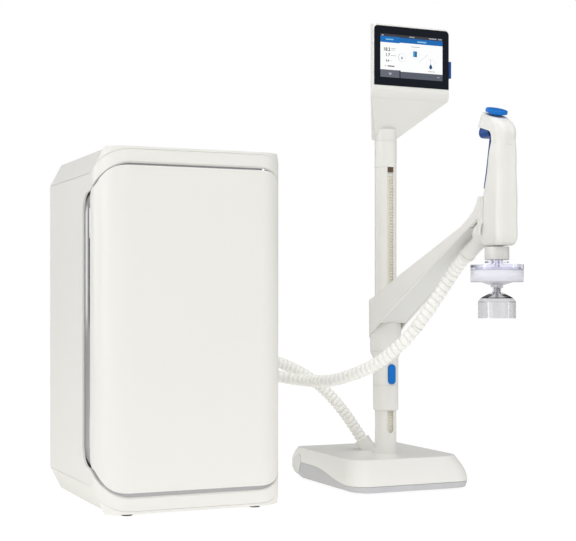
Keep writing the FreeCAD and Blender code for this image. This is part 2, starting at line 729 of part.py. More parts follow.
def rubber_feet():
    """Eight equal feet: four under the unit and four under the dispenser's base."""
    places = [(x, y) for x in (UNIT_FOOT_INSET_X, UNIT_W - UNIT_FOOT_INSET_X)
              for y in (UNIT_FOOT_INSET_Y, UNIT_D - UNIT_FOOT_INSET_Y)]
    side = POD_SIDE - POD_FOOT_INSET
    places += [(x, y) for x in (POD_X - side, POD_X + side)
               for y in (POD_Y - POD_FRONT + POD_FOOT_INSET, POD_Y + POD_BACK - POD_FOOT_INSET)]
    return group([rod(FOOT_R, Vec(x, y, 0), Z_AXIS, FOOT_H) for x, y in places])


# ---- unit: inside --------------------------------------------------------------------------
def chassis_frame():
    """Folded sheet: floor, upright bulkhead and the two straps that hold the lamp."""
    floor = box(CHASSIS_INSET + CASE_WALL, UNIT_W - CHASSIS_INSET - CASE_WALL,
                CORNER_R, BACK_Y - 3, CHASSIS_Z, FLOOR_Z)
    upright = box(-1, UNIT_W + 1, BULKHEAD_Y, BULKHEAD_Y + SHEET, CHASSIS_Z, UNIT_H)
    upright = upright.common(unit_body(CASE_WALL, UNIT_D + 5))
    return joined([floor, upright] + lamp_straps()).cut(lamp_space())


def cartridge_places():
    return [Vec(x, CART_Y, 0) for x in CART_X]


def cartridge(at):
    """Purification pack: domed canister, hand grip on top and two nozzles below."""
    z0 = FLOOR_Z + DOCK_H
    top = z0 + CART_H
    body = turned([(0, z0), (CART_NECK_R, z0), (CART_R, z0 + CART_DOME),
                   (CART_R, top - CART_DOME), (CART_R - CART_DOME, top), (0, top)], at)
    grip = box(at.x - CART_R * 0.6, at.x + CART_R * 0.6, at.y - 4, at.y + 4,
               top - 1, top + CART_GRIP_H)
    nozzles = [rod(CART_NOZZLE_R, at + Vec(side * CART_NOZZLE_PITCH / 2, 0, z0 - CART_NOZZLE_L),
                   Z_AXIS, CART_NOZZLE_L + 1) for side in (-1, 1)]
    return joined([body, grip] + nozzles)


def cartridge_dock():
    """Manifold block that both cartridges push down into."""
    x0, x1 = CART_X[0] - CART_R, CART_X[1] + CART_R
    dock = box(x0, x1, CART_Y - CART_R + DOCK_MARGIN, BULKHEAD_Y, FLOOR_Z, FLOOR_Z + DOCK_H)
    depth = CART_NOZZLE_L + 2
    for at in cartridge_places():
        for side in (-1, 1):
            start = at + Vec(side * CART_NOZZLE_PITCH / 2, 0, FLOOR_Z + DOCK_H - depth)
            dock = dock.cut(rod(CART_NOZZLE_R + PIN_GAP, start, Z_AXIS, depth + 1))
    return dock


def pump_axis():
    return Vec(PUMP_X, PUMP_Y, FLOOR_Z + PUMP_LIFT + PUMP_R)


def feed_pump():
    """Motor with its saddle and the pump head on its right end."""
    start = pump_axis()
    motor = rod(PUMP_R, start, X_AXIS, PUMP_MOTOR_L)
    saddle = box(start.x + 10, start.x + PUMP_MOTOR_L - 10, PUMP_Y - 0.7 * PUMP_R,
                 PUMP_Y + 0.7 * PUMP_R, FLOOR_Z, start.z)
    head_start = start + Vec(PUMP_MOTOR_L, 0, 0)
    head = rod(PUMP_HEAD_R, head_start, X_AXIS, PUMP_HEAD_L)
    port = rod(6, head_start + Vec(PUMP_HEAD_L / 2, 0, 0), Z_AXIS, PUMP_HEAD_R + 10)
    return joined([motor, saddle, head, port])


def lamp_housing():
    """Steel tube round the ultraviolet lamp, with end caps as one piece."""
    at = Vec(LAMP_X, LAMP_Y, LAMP_Z)
    tube = pipe_piece(LAMP_R, LAMP_R - 2, at, Z_AXIS, LAMP_L)
    caps = [rod(LAMP_R - 2, at, Z_AXIS, 8), rod(LAMP_R - 2, at + Vec(0, 0, LAMP_L - 8), Z_AXIS, 8)]
    return joined([tube] + caps)


def lamp_straps():
    """Solid blanks of the straps; the lamp's space is cut from them afterwards."""
    straps = []
    for z in (LAMP_Z + 30, LAMP_Z + LAMP_L - 30 - CLAMP_H):
        straps.append(rod(LAMP_R + CLAMP_T, Vec(LAMP_X, LAMP_Y, z), Z_AXIS, CLAMP_H))
        straps.append(box(LAMP_X - 8, LAMP_X + 8, BULKHEAD_Y, LAMP_Y, z, z + CLAMP_H))
    return straps


def lamp_space():
    return rod(LAMP_R, Vec(LAMP_X, LAMP_Y, LAMP_Z), Z_AXIS, LAMP_L)


def valve_block():
    """Solenoid valves on one aluminium block."""
    y0 = BULKHEAD_Y + SHEET
    block = box(24, 124, y0, y0 + 30, 112, 136)
    coils = [rod(11, Vec(x, y0 + 15, 135), Z_AXIS, 33) for x in (41, 74, 107)]
    return joined([block] + coils)


def purity_monitor():
    y0 = BULKHEAD_Y + SHEET
    low = MONITOR_TOP - MONITOR_H
    case = box(140, 188, y0, y0 + 42, low, MONITOR_TOP)
    cell = rod(9, Vec(164, y0 + 21, low - 25), Z_AXIS, 25)
    return joined([case, cell])


def power_supply():
    y0 = BULKHEAD_Y + SHEET
    z1 = UNIT_H - SUPPLY_DROP
    case = box(24, 124, y0, y0 + 48, z1 - SUPPLY_H, z1)
    vents = [box(34, 114, y0 + 47, y0 + 49, z1 - 9 - 12 * i, z1 - 6 - 12 * i) for i in range(1, 9)]
    return case.cut(vents)


def main_board():
    """Controller board on four standoffs, with its larger components."""
    y0 = BULKHEAD_Y + SHEET
    high = BOARD_TOP - BOARD_LOW

    def up(share):
        return BOARD_LOW + share * high

    board = box(24, 184, y0 + 8, y0 + 9.6, BOARD_LOW, BOARD_TOP)
    posts = [rod(3, Vec(x, y0, z), Y_AXIS, 9) for x in (32, 176)
             for z in (BOARD_LOW + 8, BOARD_TOP - 8)]
    parts = [box(40, 72, y0 + 9, y0 + 16, up(0.56), up(0.84)),
             box(90, 104, y0 + 9, y0 + 22, up(0.12), up(0.47)),
             box(120, 160, y0 + 9, y0 + 13, up(0.25), up(0.6)),
             box(118, 174, y0 + 9, y0 + 20, up(0.79), up(0.9))]
    parts += [rod(6, Vec(48 + 16 * i, y0 + 9, up(0.17)), Y_AXIS, 16) for i in range(3)]
    return joined([board] + posts + parts)


def water_lines():
    """Rigid push-fit runs between pump, lamp housing and monitor."""
    pump_out = pump_axis() + Vec(PUMP_MOTOR_L + PUMP_HEAD_L / 2, 0, PUMP_HEAD_R + 10)
    lamp_in = Vec(LAMP_X, LAMP_Y, LAMP_Z)
    r = 4.0
    bend = 12.0
    low = [pump_out, pump_out + Vec(0, 0, 16), Vec(lamp_in.x, pump_out.y, pump_out.z + 16),
           Vec(lamp_in.x, lamp_in.y, pump_out.z + 16), lamp_in]
    lamp_out = lamp_in + Vec(0, 0, LAMP_L)
    cell_end = Vec(164, BULKHEAD_Y + SHEET + 21, MONITOR_TOP)
    high = [lamp_out, lamp_out + Vec(0, 0, 20), Vec(cell_end.x, lamp_out.y, lamp_out.z + 20),
            Vec(cell_end.x, cell_end.y, lamp_out.z + 20), cell_end]
    return group([route_tube(low, r, bend), route_tube(high, r, bend)])


# ---- unit: back panel and connections --------------------------------------------------------
def gland_places():
    return [GUN_HOSE_START, BASE_HOSE_START]


def back_panel():
    panel = box(-1, UNIT_W + 1, BACK_Y - 3, BACK_Y, CASE_LOW, UNIT_H)
    panel = panel.common(unit_body(CASE_WALL, UNIT_D + 5))
    inlet = box(INLET_X - INLET_W / 2 + 4, INLET_X + INLET_W / 2 - 4, BACK_Y - 5, BACK_Y + 5,
                INLET_Z - INLET_H / 2 + 4, INLET_Z + INLET_H / 2 - 4)
    holes = [rod(PORT_R - 2, Vec(x, BACK_Y - 5, PORT_Z), Y_AXIS, 10) for x in PORT_X]
    slots = [box(105 + 12 * i, 110 + 12 * i, BACK_Y - 5, BACK_Y + 5, 330, 410) for i in range(8)]
    return panel.cut([inlet] + holes + slots)


def socket_centre():
    return Vec(INLET_X, BACK_Y + INLET_FLANGE, INLET_Z - SOCKET_DROP)


def rocker_centre():
    return Vec(INLET_X, BACK_Y + INLET_FLANGE - 2.5, INLET_Z + ROCKER_RISE)


def mains_inlet():
    """Appliance inlet with its three blades and a bay for the switch above."""
    flange = box(INLET_X - INLET_W / 2, INLET_X + INLET_W / 2, BACK_Y, BACK_Y + INLET_FLANGE,
                 INLET_Z - INLET_H / 2, INLET_Z + INLET_H / 2)
    body = box(INLET_X - INLET_W / 2 + 4, INLET_X + INLET_W / 2 - 4,
               BACK_Y - INLET_BODY_DEPTH, BACK_Y,
               INLET_Z - INLET_H / 2 + 4, INLET_Z + INLET_H / 2 - 4)
    face = BACK_Y + INLET_FLANGE
    at = socket_centre()
    socket = box(at.x - SOCKET_W / 2, at.x + SOCKET_W / 2, face - SOCKET_DEPTH, face + 1,
                 at.z - SOCKET_H / 2, at.z + SOCKET_H / 2)
    hub = rocker_centre()
    bay = box(hub.x - ROCKER_W / 2 - RUN_GAP, hub.x + ROCKER_W / 2 + RUN_GAP,
              face - ROCKER_DEPTH, face + 1,
              hub.z - ROCKER_H / 2 - 2 * RUN_GAP, hub.z + ROCKER_H / 2 + 2 * RUN_GAP)
    pivots = rod(1.2 + PIN_GAP, hub - Vec(ROCKER_W / 2 + 2 + PIN_GAP, 0, 0), X_AXIS,
                 ROCKER_W + 4 + 2 * PIN_GAP)
    root = face - SOCKET_DEPTH - 1
    blades = []
    for dx, dz in ((-BLADE_PITCH / 2, -1.5), (BLADE_PITCH / 2, -1.5), (0, 4)):
        blades.append(box(at.x + dx - BLADE_T / 2, at.x + dx + BLADE_T / 2, root, root + 1 + BLADE_L,
                          at.z + dz - BLADE_H / 2, at.z + dz + BLADE_H / 2))
    return joined([joined([flange, body]).cut([socket, bay, pivots])] + blades)


def power_rocker():
    hub = rocker_centre()
    half_h = ROCKER_H / 2
    body = prism_x([(hub.y - 4, hub.z - half_h * 0.55), (hub.y + 3.2, hub.z - half_h),
                    (hub.y + 2.2, hub.z), (hub.y + 3.2, hub.z + half_h),
                    (hub.y - 4, hub.z + half_h * 0.55)],
                   hub.x - ROCKER_W / 2, hub.x + ROCKER_W / 2)
    axle = rod(1.2, hub - Vec(ROCKER_W / 2 + 2, 0, 0), X_AXIS, ROCKER_W + 4)
    return joined([body, axle])


def water_ports():
    """Push-fit unions for the feed and the drain tube."""
    ports = []
    for x in PORT_X:
        start = Vec(x, BACK_Y, PORT_Z)
        outer = rod(PORT_R, start, Y_AXIS, PORT_OUT)
        stem = rod(PORT_R - 2, start - Y_AXIS * PORT_IN, Y_AXIS, PORT_IN)
        nut = rod(PORT_R + 2, start, Y_AXIS, 4)
        bore = rod(TUBE_R, start + Y_AXIS * (PORT_OUT - TUBE_DEPTH), Y_AXIS, TUBE_DEPTH + 1)
        ports.append(joined([outer, stem, nut]).cut(bore))
    return group(ports)


def hose_glands():
    """Flanged glands on the right flank where the two hoses leave."""
    glands = []
    for y, z in gland_places():
        face = Vec(UNIT_W, y, z)
        flange = rod(GLAND_FLANGE_R, face, X_AXIS, GLAND_FLANGE_T)
        neck = rod(GLAND_NECK_R, face, X_AXIS, GLAND_FLANGE_T + GLAND_NECK_L)
        stem = rod(GLAND_STEM_R, face - X_AXIS * GLAND_STEM_L, X_AXIS, GLAND_STEM_L)
        glands.append(joined([flange, neck, stem]))
    return group(glands)


def panel_screws():
    screws = []
    for x in (16.0, UNIT_W - 16.0):
        for z in (48.0, 250.0, 452.0):
            screws.append(rod(3.4, Vec(x, BACK_Y, z), Y_AXIS, 1.8))
    return group(screws)


# ---- dispenser: base ---------------------------------------------------------------------
def pod_section(front, side, back, z, inset):
    return rounded_wire(POD_X - side + inset, POD_X + side - inset, POD_Y - front + inset,
                        POD_Y + back - inset, z, POD_CORNER_FRONT - inset, POD_CORNER_BACK - inset)


def pod_body(inset):
    """Bellied outer form of the base, moved in by inset."""
    foot = pod_section(POD_FRONT, POD_SIDE, POD_BACK, POD_FOOT_H + inset, inset)
    middle = pod_section(POD_MID_FRONT, POD_MID_SIDE, POD_MID_BACK, POD_MID, inset)
    top = pod_section(POD_TOP_FRONT, POD_TOP_SIDE, POD_TOP_BACK, POD_TOP - inset, inset)
    return Part.makeLoft([foot, middle, top], True, False)


def below_parting(shift):
    """Everything below the wavy parting line between cover and tray."""
    x0 = POD_X - POD_MID_SIDE - 10
    front, back = POD_Y - POD_FRONT - 10, POD_Y + POD_TOP_BACK + 10
    start = Vec(x0, POD_Y + PART_S_START, PART_BACK_Z + shift)
    end = Vec(x0, POD_Y + PART_S_END, PART_FRONT_Z + shift)
    third = (start.y - end.y) * 0.42
    wave = Part.BezierCurve()
    wave.setPoles([start, start - Y_AXIS * third, end + Y_AXIS * third, end])
    corners = [end, Vec(x0, front, end.z), Vec(x0, front, -10), Vec(x0, back, -10),
               Vec(x0, back, start.z), start]
    edges = [wave.toShape()]
    edges += [Part.LineSegment(a, b).toShape() for a, b in zip(corners, corners[1:])]
    face = Part.Face(Part.Wire(Part.__sortEdges__(edges)))
    return face.extrude(Vec(2 * POD_MID_SIDE + 20, 0, 0))


def cap_rod(radius, x0, x1):
    start = Vec(POD_X - POD_MID_SIDE + x0, POD_Y + CAP_BACK, CAP_Z)
    return rod(radius, start, X_AXIS, x1 - x0)


def base_cover():
    """White upper shell of the dispenser's base, with the leaning boss for the hose."""
    shell = pod_body(0).cut(pod_body(POD_WALL)).cut(below_parting(SEAM / 2))
    column_hole = rod(COLUMN_R, Vec(POD_X, POD_Y, POD_TOP - 10), Z_AXIS, 20)
    cover = shell.cut([column_hole, cap_rod(CAP_R + RUN_GAP, -5, 30)])
    return joined([cover, hose_boss()])


def base_tray():
    """Grey lower tray."""
    shell = pod_body(POD_TRAY_STEP).cut(pod_body(POD_TRAY_STEP + POD_WALL))
    tray = shell.common(below_parting(-SEAM / 2))
    return tray.cut(cap_rod(CAP_R + RUN_GAP, -5, 30))


def weight_top():
    return POD_FOOT_H + POD_TRAY_STEP + POD_WALL + WEIGHT_T


def base_weight():
    """Cast ballast plate with the boss that the column stands over."""
    z0 = POD_FOOT_H + POD_TRAY_STEP + POD_WALL
    plate = box(POD_X - POD_SIDE + WEIGHT_INSET, POD_X + POD_SIDE - WEIGHT_INSET,
                POD_Y - POD_FRONT + WEIGHT_INSET, POD_Y + POD_BACK - WEIGHT_INSET,
                z0, weight_top())
    boss = rod(COLUMN_R - COLUMN_WALL, Vec(POD_X, POD_Y, z0), Z_AXIS, WEIGHT_T + COLUMN_PLUG_H)
    return joined([plate, boss])


def side_cap():
    """Round cover that follows the belly of the base and plugs the service sockets."""
    skin = pod_body(-CAP_PROUD).cut(pod_body(-CAP_PROUD + CAP_WALL))
    lid = skin.common(cap_rod(CAP_R, -5, 30))
    return joined([lid, cap_rod(CAP_PLUG_R, CAP_WALL + 2, CAP_WALL + 2 + CAP_PLUG_L)])


def hose_boss():
    boss = rod(BOSS_R, BOSS_FOOT - BOSS_DIR * 6, BOSS_DIR, BOSS_L + 10)
    above = box(POD_X - BIG, POD_X + BIG, POD_Y, POD_Y + 2 * BIG, POD_TOP - 1, POD_TOP + BIG)
    return boss.common(above)


# ---- dispenser: column --------------------------------------------------------------------
def column_tube():
    z0 = weight_top()
    at = Vec(POD_X, POD_Y, z0)
    tube = pipe_piece(COLUMN_R, COLUMN_R - COLUMN_WALL, at, Z_AXIS, COLUMN_TOP - z0)
    half = SLOT_W / 2
    slot = box(POD_X - half, POD_X + half, POD_Y - COLUMN_R - 1, POD_Y,
               SLOT_LOW + half, COLUMN_TOP + 1)
    round_end = rod(half, Vec(POD_X, POD_Y - COLUMN_R - 1, SLOT_LOW + half), Y_AXIS, COLUMN_R + 1)
    return tube.cut([slot, round_end])


def rack_span():
    return weight_top() + COLUMN_PLUG_H, COLUMN_TOP - COLLAR_SPIGOT_L


def column_rack():
    """Toothed bar behind the slot; the arm's pawl holds on its teeth."""
    z0, z1 = rack_span()
    face = POD_Y - COLUMN_R + RACK_SET_BACK
    bar = box(POD_X - RACK_W / 2, POD_X + RACK_W / 2, face, face + RACK_T, z0, z1)
    low, high = SLOT_LOW + SLOT_W / 2, COLUMN_TOP - STOP_H - TOOTH_PITCH
    outline = [(face + 1, low), (face, low)]
    count = int((high - low) / TOOTH_PITCH)
    for i in range(count):
        z = low + i * TOOTH_PITCH
        outline += [(face - TOOTH_H, z + 0.25 * TOOTH_PITCH),
                    (face - TOOTH_H, z + 0.55 * TOOTH_PITCH), (face, z + 0.8 * TOOTH_PITCH),
                    (face, z + TOOTH_PITCH)]
    outline += [(face + 1, low + count * TOOTH_PITCH)]
    x1 = POD_X + SLOT_W / 2
    teeth = prism_x(outline, x1 - TOOTH_W, x1)
    return joined([bar, teeth])


def head_collar():
    """Plain top of the column with the spigot that closes the tube."""
    at = Vec(POD_X, POD_Y, COLUMN_TOP)
    ring = rod(COLLAR_R, at, Z_AXIS, COLLAR_TOP - COLUMN_TOP)
    rims = [e for e in ring.Edges if abs(e.Length - 2 * math.pi * COLLAR_R) < 0.01]
    ring = ring.makeChamfer(COLLAR_CHAMFER, rims)
    spigot = rod(COLUMN_R - COLUMN_WALL, at - Z_AXIS * COLLAR_SPIGOT_L, Z_AXIS, COLLAR_SPIGOT_L)
    flat = box(POD_X - BIG, POD_X + BIG, POD_Y - BIG, POD_Y - COLUMN_R + COLUMN_WALL + 1,
               COLUMN_TOP - COLLAR_SPIGOT_L - 1, COLUMN_TOP)
    bore = rod(NECK_SPIGOT_R + RUN_GAP, Vec(POD_X, POD_Y, COLLAR_TOP - NECK_SPIGOT_L - 1),
               Z_AXIS, NECK_SPIGOT_L + 2)
    return joined([ring, spigot.cut(flat)]).cut(bore)


def slot_stop():
    """Brown buffer at the top of the slot."""
    half = SLOT_W / 2 - 0.1
    y1 = POD_Y - COLUMN_R + COLUMN_WALL + 1
    return box(POD_X - half, POD_X + half, y1 - 3, y1, COLUMN_TOP - STOP_H, COLUMN_TOP)


# ---- dispenser: screen head ------------------------------------------------------------------
def head_face_y():
    return POD_Y - HEAD_FACE


def folded_face():
    """Everything behind the face and the funnel's slope, with the bend between them."""
    y0 = head_face_y()
    fall = (HEAD_LOW - HEAD_THROAT) / (HEAD_FACE - FOLD_BACK)
    x = POD_X - 2 * BIG
    top, back, low = HEAD_HIGH + 1, y0 + BEZEL_T + 1, HEAD_LOW - 1
    line = [Vec(x, y0, top), Vec(x, y0, HEAD_LOW + fall * FOLD_BACK),
            Vec(x, y0 + FOLD_BACK + 1 / fall, low)]
    edges, _ = route_edges(line, bend=FOLD_R)
    rest = [line[-1], Vec(x, back, low), Vec(x, back, top), line[0]]
    edges += [Part.LineSegment(a, b).toShape() for a, b in zip(rest, rest[1:])]
    return Part.Face(Part.Wire(edges)).extrude(Vec(4 * BIG, 0, 0))


def glass_form(y0, y1):
    """Outline of the screen's glass, its upper corners rounded."""
    block = box(POD_X - GLASS_LEFT, POD_X + GLASS_RIGHT, y0, y1, GLASS_LOW, GLASS_HIGH)
    corners = [e for e in block.Edges if e.BoundBox.ZMin > GLASS_HIGH - 0.1 and e.BoundBox.XLength < 0.1]
    return block.makeFillet(GLASS_R, corners)


def head_bezel():
    """Front frame of the screen."""
    y0 = head_face_y()
    x0, x1 = POD_X - HEAD_LEFT, POD_X + HEAD_RIGHT
    frame = plate_y(x0, x1, HEAD_LOW - BEZEL_R, HEAD_HIGH, BEZEL_R, y0, y0 + BEZEL_T)
    front_edges = [e for e in frame.Edges if e.BoundBox.YMax < y0 + 0.01]
    frame = frame.makeFillet(BEZEL_EDGE_R, front_edges).common(folded_face())
    below = box(x0 - 1, x1 + 1, y0 - 1, y0 + BEZEL_T + 1, HEAD_LOW - BIG, HEAD_LOW)
    gx0, gx1 = POD_X - GLASS_LEFT, POD_X + GLASS_RIGHT
    seat = glass_form(y0 - 1, y0 + GLASS_T)
    well = box(gx0 + PANEL_INSET - 3, gx1 - PANEL_INSET + 3, y0, y0 + BEZEL_T + 1,
               GLASS_LOW + PANEL_INSET - 3, GLASS_HIGH - PANEL_INSET + 3)
    tab = tab_block(RUN_GAP, 0)
    return frame.cut([below, seat, well, tab])


def screen_glass():
    y0 = head_face_y()
    return glass_form(y0 - 0.4, y0 + GLASS_T)


def screen_panel():
    """Display module behind the glass."""
    y0 = head_face_y() + GLASS_T
    return box(POD_X - GLASS_LEFT + PANEL_INSET, POD_X + GLASS_RIGHT - PANEL_INSET, y0,
               y0 + PANEL_T, GLASS_LOW + PANEL_INSET, GLASS_HIGH - PANEL_INSET)


def head_wedge(inset):
    """Funnel-shaped rear of the head, from the bezel down to the neck."""
    y0 = head_face_y() + BEZEL_T
    low, high = HEAD_LOW + inset, HEAD_HIGH - inset
    lap = 1 if inset else 0
    foot = [] if inset else [(head_face_y() + FOLD_BACK, low)]
    side = prism_x([(y0 - lap, high), (y0 - lap, low)] + foot +
                   [(POD_Y, HEAD_THROAT + inset), (POD_Y + HEAD_BACK - inset, HEAD_THROAT + inset),
                    (POD_Y + HEAD_BACK - inset, HEAD_BACK_BEND),
                    (POD_Y - HEAD_BACK_TOP - inset, high)], POD_X - 2 * BIG, POD_X + 2 * BIG)
    left, right = POD_X - HEAD_LEFT + inset, POD_X + HEAD_RIGHT - inset
    throat = NECK_R - inset
    front = prism_y([(left, high), (left, low), (POD_X - throat, HEAD_THROAT + inset),
                     (POD_X + throat, HEAD_THROAT + inset), (right, low), (right, high)],
                    head_face_y(), POD_Y + BIG)
    reach = POD_Y + BIG - y0
    narrow = HEAD_TAPER * reach
    face = head_face_y()
    corners = [Vec(left, face, 0), Vec(right, face, 0), Vec(right, y0, 0),
               Vec(right - narrow, y0 + reach, 0), Vec(left + narrow, y0 + reach, 0), Vec(left, y0, 0)]
    plan = Part.Face(Part.makePolygon(corners + corners[:1])).extrude(Vec(0, 0, HEAD_HIGH + BIG))
    return side.common(front).common(plan)


def head_shell():
    """Rear shell of the head with the neck that turns in the collar."""
    wedge = head_wedge(0)
    behind = head_face_y() + BEZEL_T + 1
    bounds = [(edge, edge.BoundBox) for edge in wedge.Edges]
    rounded = [edge for edge, b in bounds if b.YMin > behind and b.ZMax > HEAD_BACK_BEND + 1]
    rounded += [edge for edge, b in bounds if b.YMin > POD_Y + 5
                and HEAD_THROAT + 1 > b.ZMin and b.ZMax > HEAD_BACK_BEND - 1]
    wedge = wedge.makeFillet(HEAD_EDGE_R, rounded)
    neck = rod(NECK_R, Vec(POD_X, POD_Y, COLLAR_TOP), Z_AXIS, NECK_TOP - COLLAR_TOP)
    spigot = rod(NECK_SPIGOT_R, Vec(POD_X, POD_Y, COLLAR_TOP - NECK_SPIGOT_L), Z_AXIS, NECK_SPIGOT_L + 1)
    hollow = head_wedge(HEAD_WALL).common(
        box(0, POD_X + 3 * BIG, 0, POD_Y + 2 * BIG, NECK_TOP, HEAD_HIGH))
    return joined([wedge, neck, spigot]).cut(hollow).cut(tab_block(RUN_GAP, 0))


def tab_block(grow, pull):
    """Blue cover on the right edge of the head, with its plug."""
    y = head_face_y() + BEZEL_T
    x = POD_X + HEAD_RIGHT + pull
    tab = box(x - TAB_W, x + TAB_W, y - TAB_T / 2 - grow, y + TAB_T / 2 + grow,
              TAB_Z - TAB_H / 2 - grow, TAB_Z + TAB_H / 2 + grow)
    return tab


# ---- dispenser: carriage and arm ---------------------------------------------------------------
def carriage_sleeve():
    at = Vec(POD_X, POD_Y, 0)
    body = turned([(0, SLEEVE_LOW), (SLEEVE_LOW_R, SLEEVE_LOW), (SLEEVE_LOW_R, SLEEVE_CONE_LOW),
                   (SLEEVE_R, SLEEVE_CONE_HIGH), (SLEEVE_R, SLEEVE_TOP), (0, SLEEVE_TOP)], at)
    bore = rod(COLUMN_R + RUN_GAP, at, Z_AXIS, SLEEVE_TOP + 1)
    seams = []
    for z, r in ((SLEEVE_SEAM_Z, SLEEVE_LOW_R), (SLEEVE_CONE_HIGH + 1, SLEEVE_R)):
        seams.append(pipe_piece(r + 2, r - SEAM_DEPTH, at + Z_AXIS * z, Z_AXIS, 0.6))
    front = POD_Y - SLEEVE_LOW_R
    window = button_form(RUN_GAP, front - BUTTON_PROUD, POD_Y - COLUMN_R + 2)
    pocket = box(POD_X, POD_X + SLOT_W / 2, pawl_face() - PAWL_T - PAWL_TRAVEL - RUN_GAP,
                 POD_Y - COLUMN_R + 2, PAWL_Z - RUN_GAP, PAWL_Z + PAWL_H + RUN_GAP)
    return body.cut([bore] + seams + [window, pocket])


def button_form(grow, y0, y1):
    """Upright rounded-end block, the outline of the release button."""
    half = BUTTON_W / 2 + grow
    mid = BUTTON_H / 2 - BUTTON_W / 2
    block = box(POD_X - half, POD_X + half, y0, y1, BUTTON_Z - mid, BUTTON_Z + mid)
    ends = [rod(half, Vec(POD_X, y0, BUTTON_Z + s * mid), Y_AXIS, y1 - y0) for s in (-1, 1)]
    return joined([block] + ends)


def release_button():
    y0 = POD_Y - SLEEVE_LOW_R - BUTTON_PROUD
    head = button_form(0, y0, y0 + BUTTON_T)
    stem = box(POD_X - BUTTON_STEM_W / 2, POD_X + BUTTON_STEM_W / 2, y0 + 1, y0 + BUTTON_T + BUTTON_STEM_L,
               BUTTON_Z - BUTTON_STEM_H / 2, BUTTON_Z + BUTTON_STEM_H / 2)
    return joined([head, stem])


def pawl_face():
    """Rear face of the pawl, just clear of the tips of the teeth."""
    return POD_Y - COLUMN_R + RACK_SET_BACK - TOOTH_H - RUN_GAP


def lock_pawl():
    """Toothed plate that holds the arm at its height; released by the button."""
    y1 = pawl_face()
    x1 = POD_X + SLOT_W / 2 - RUN_GAP
    plate = box(x1 - PAWL_W, x1, y1 - PAWL_T, y1, PAWL_Z, PAWL_Z + PAWL_H)
    notches = [box(x1 - PAWL_W - 1, x1 + 1, y1 - 0.9, y1 + 1, PAWL_Z + 2 + i * TOOTH_PITCH,
                   PAWL_Z + 4 + i * TOOTH_PITCH) for i in range(3)]
    return plate.cut(notches)


def arm_plan(inset, low, high):
    """Plan of the arm: round behind the column, narrowing towards the cradle."""
    r = ARM_REAR_R - inset
    half = ARM_FRONT_HALF_W - inset
    front = GUN_Y - 5
    left, right = POD_X - r, POD_X + r
    arc = Part.Arc(Vec(right, POD_Y, low), Vec(POD_X, POD_Y + r, low), Vec(left, POD_Y, low))
    corners = [Vec(left, POD_Y, low), Vec(POD_X - half, front, low), Vec(POD_X + half, front, low),
               Vec(right, POD_Y, low)]
    edges = [arc.toShape()]
    edges += [Part.LineSegment(a, b).toShape() for a, b in zip(corners, corners[1:])]
    return Part.Face(Part.Wire(edges)).extrude(Vec(0, 0, high - low))


def arm_points():
    line = [(POD_Y + reach, z) for reach, z in ARM_TOP_LINE]
    return line + [(POD_Y + reach, z) for reach, z in ARM_LOW_LINE]


def arm_side(drop):
    return prism_x([(y, z - drop) for y, z in arm_points()], POD_X - BIG, POD_X + BIG)


def gun_space(grow):
    """Room for the gun's handle in the cradle, open to the front."""
    seat = gun_handle(grow)
    return [seat] + [seat.translated(Vec(0, -step, 0)) for step in (9, 18, 30)]


def cradle_cup():
    """Cheeks and back wall that the handle rests in."""
    outer = gun_handle(CRADLE_T + RUN_GAP)
    keep = box(POD_X - BIG, POD_X + BIG, GUN_Y + CRADLE_FRONT, GUN_Y + BIG, CRADLE_LOW, CRADLE_HIGH)
    return outer.common(keep)


def arm_shell():
    """Arm with its cradle: top and flanks, open below."""
    beam = arm_side(0).common(arm_plan(0, ARM_FLOOR, ARM_CEILING))
    hollow = arm_side(ARM_WALL).common(arm_plan(ARM_WALL, ARM_FLOOR, ARM_CEILING))
    front_stop = box(POD_X - BIG, POD_X + BIG, GUN_Y - BIG, GUN_Y + 38, SLEEVE_TOP, ARM_CEILING)
    hub = rod(ARM_REAR_R, Vec(POD_X, POD_Y, SLEEVE_TOP), Z_AXIS, 50).common(beam)
    beam = beam.cut(hollow.cut(front_stop))
    skirt_room = rod(SLEEVE_R, Vec(POD_X, POD_Y, ARM_FLOOR), Z_AXIS, SLEEVE_TOP - ARM_FLOOR)
    bore = rod(COLUMN_R + RUN_GAP, Vec(POD_X, POD_Y, 200), Z_AXIS, 150)
    arm = joined([beam, hub, cradle_cup()])
    return arm.cut([skirt_room, bore] + gun_space(RUN_GAP) + [cuff_room()] + heel_space(3 * RUN_GAP))


def cuff_room():
    start = CUFF_END - CUFF_DIR * 60
    return rod(CUFF_ROOM_R, start, CUFF_DIR, 75)


def arm_cover():
    """Plate that closes the arm from below, between its flanks."""
    inner = arm_plan(ARM_WALL, ARM_FLOOR, ARM_CEILING)
    low = [(POD_Y + reach, z) for reach, z in ARM_LOW_LINE[:3]]
    lift = ARM_COVER_SET_IN
    band = [(y, z + lift) for y, z in low] + [(y, z + lift + ARM_COVER_T) for y, z in reversed(low)]
    plate = prism_x(band, POD_X - BIG, POD_X + BIG).common(inner)
    plate = plate.common(box(POD_X - BIG, POD_X + BIG, GUN_Y + 42, POD_Y + BIG, ARM_FLOOR, ARM_CEILING))
    keep_off = rod(ARM_REAR_R, Vec(POD_X, POD_Y, 200), Z_AXIS, 150)
    return plate.cut([keep_off, cuff_room(), gun_heel(3 * RUN_GAP)])


# ---- gun ---------------------------------------------------------------------------------------
def oval_wire(z, back, half_w, half_d, share):
    r = share * min(half_w, half_d)
    return rounded_wire(POD_X - half_w, POD_X + half_w, GUN_Y + back - half_d,
                        GUN_Y + back + half_d, z, r, r)


def gun_handle(grow):
    wires = [oval_wire(z, back, w + grow, d + grow, GUN_ROUND) for z, back, w, d in GUN_SECTIONS]
    return Part.makeLoft(wires, True, False)


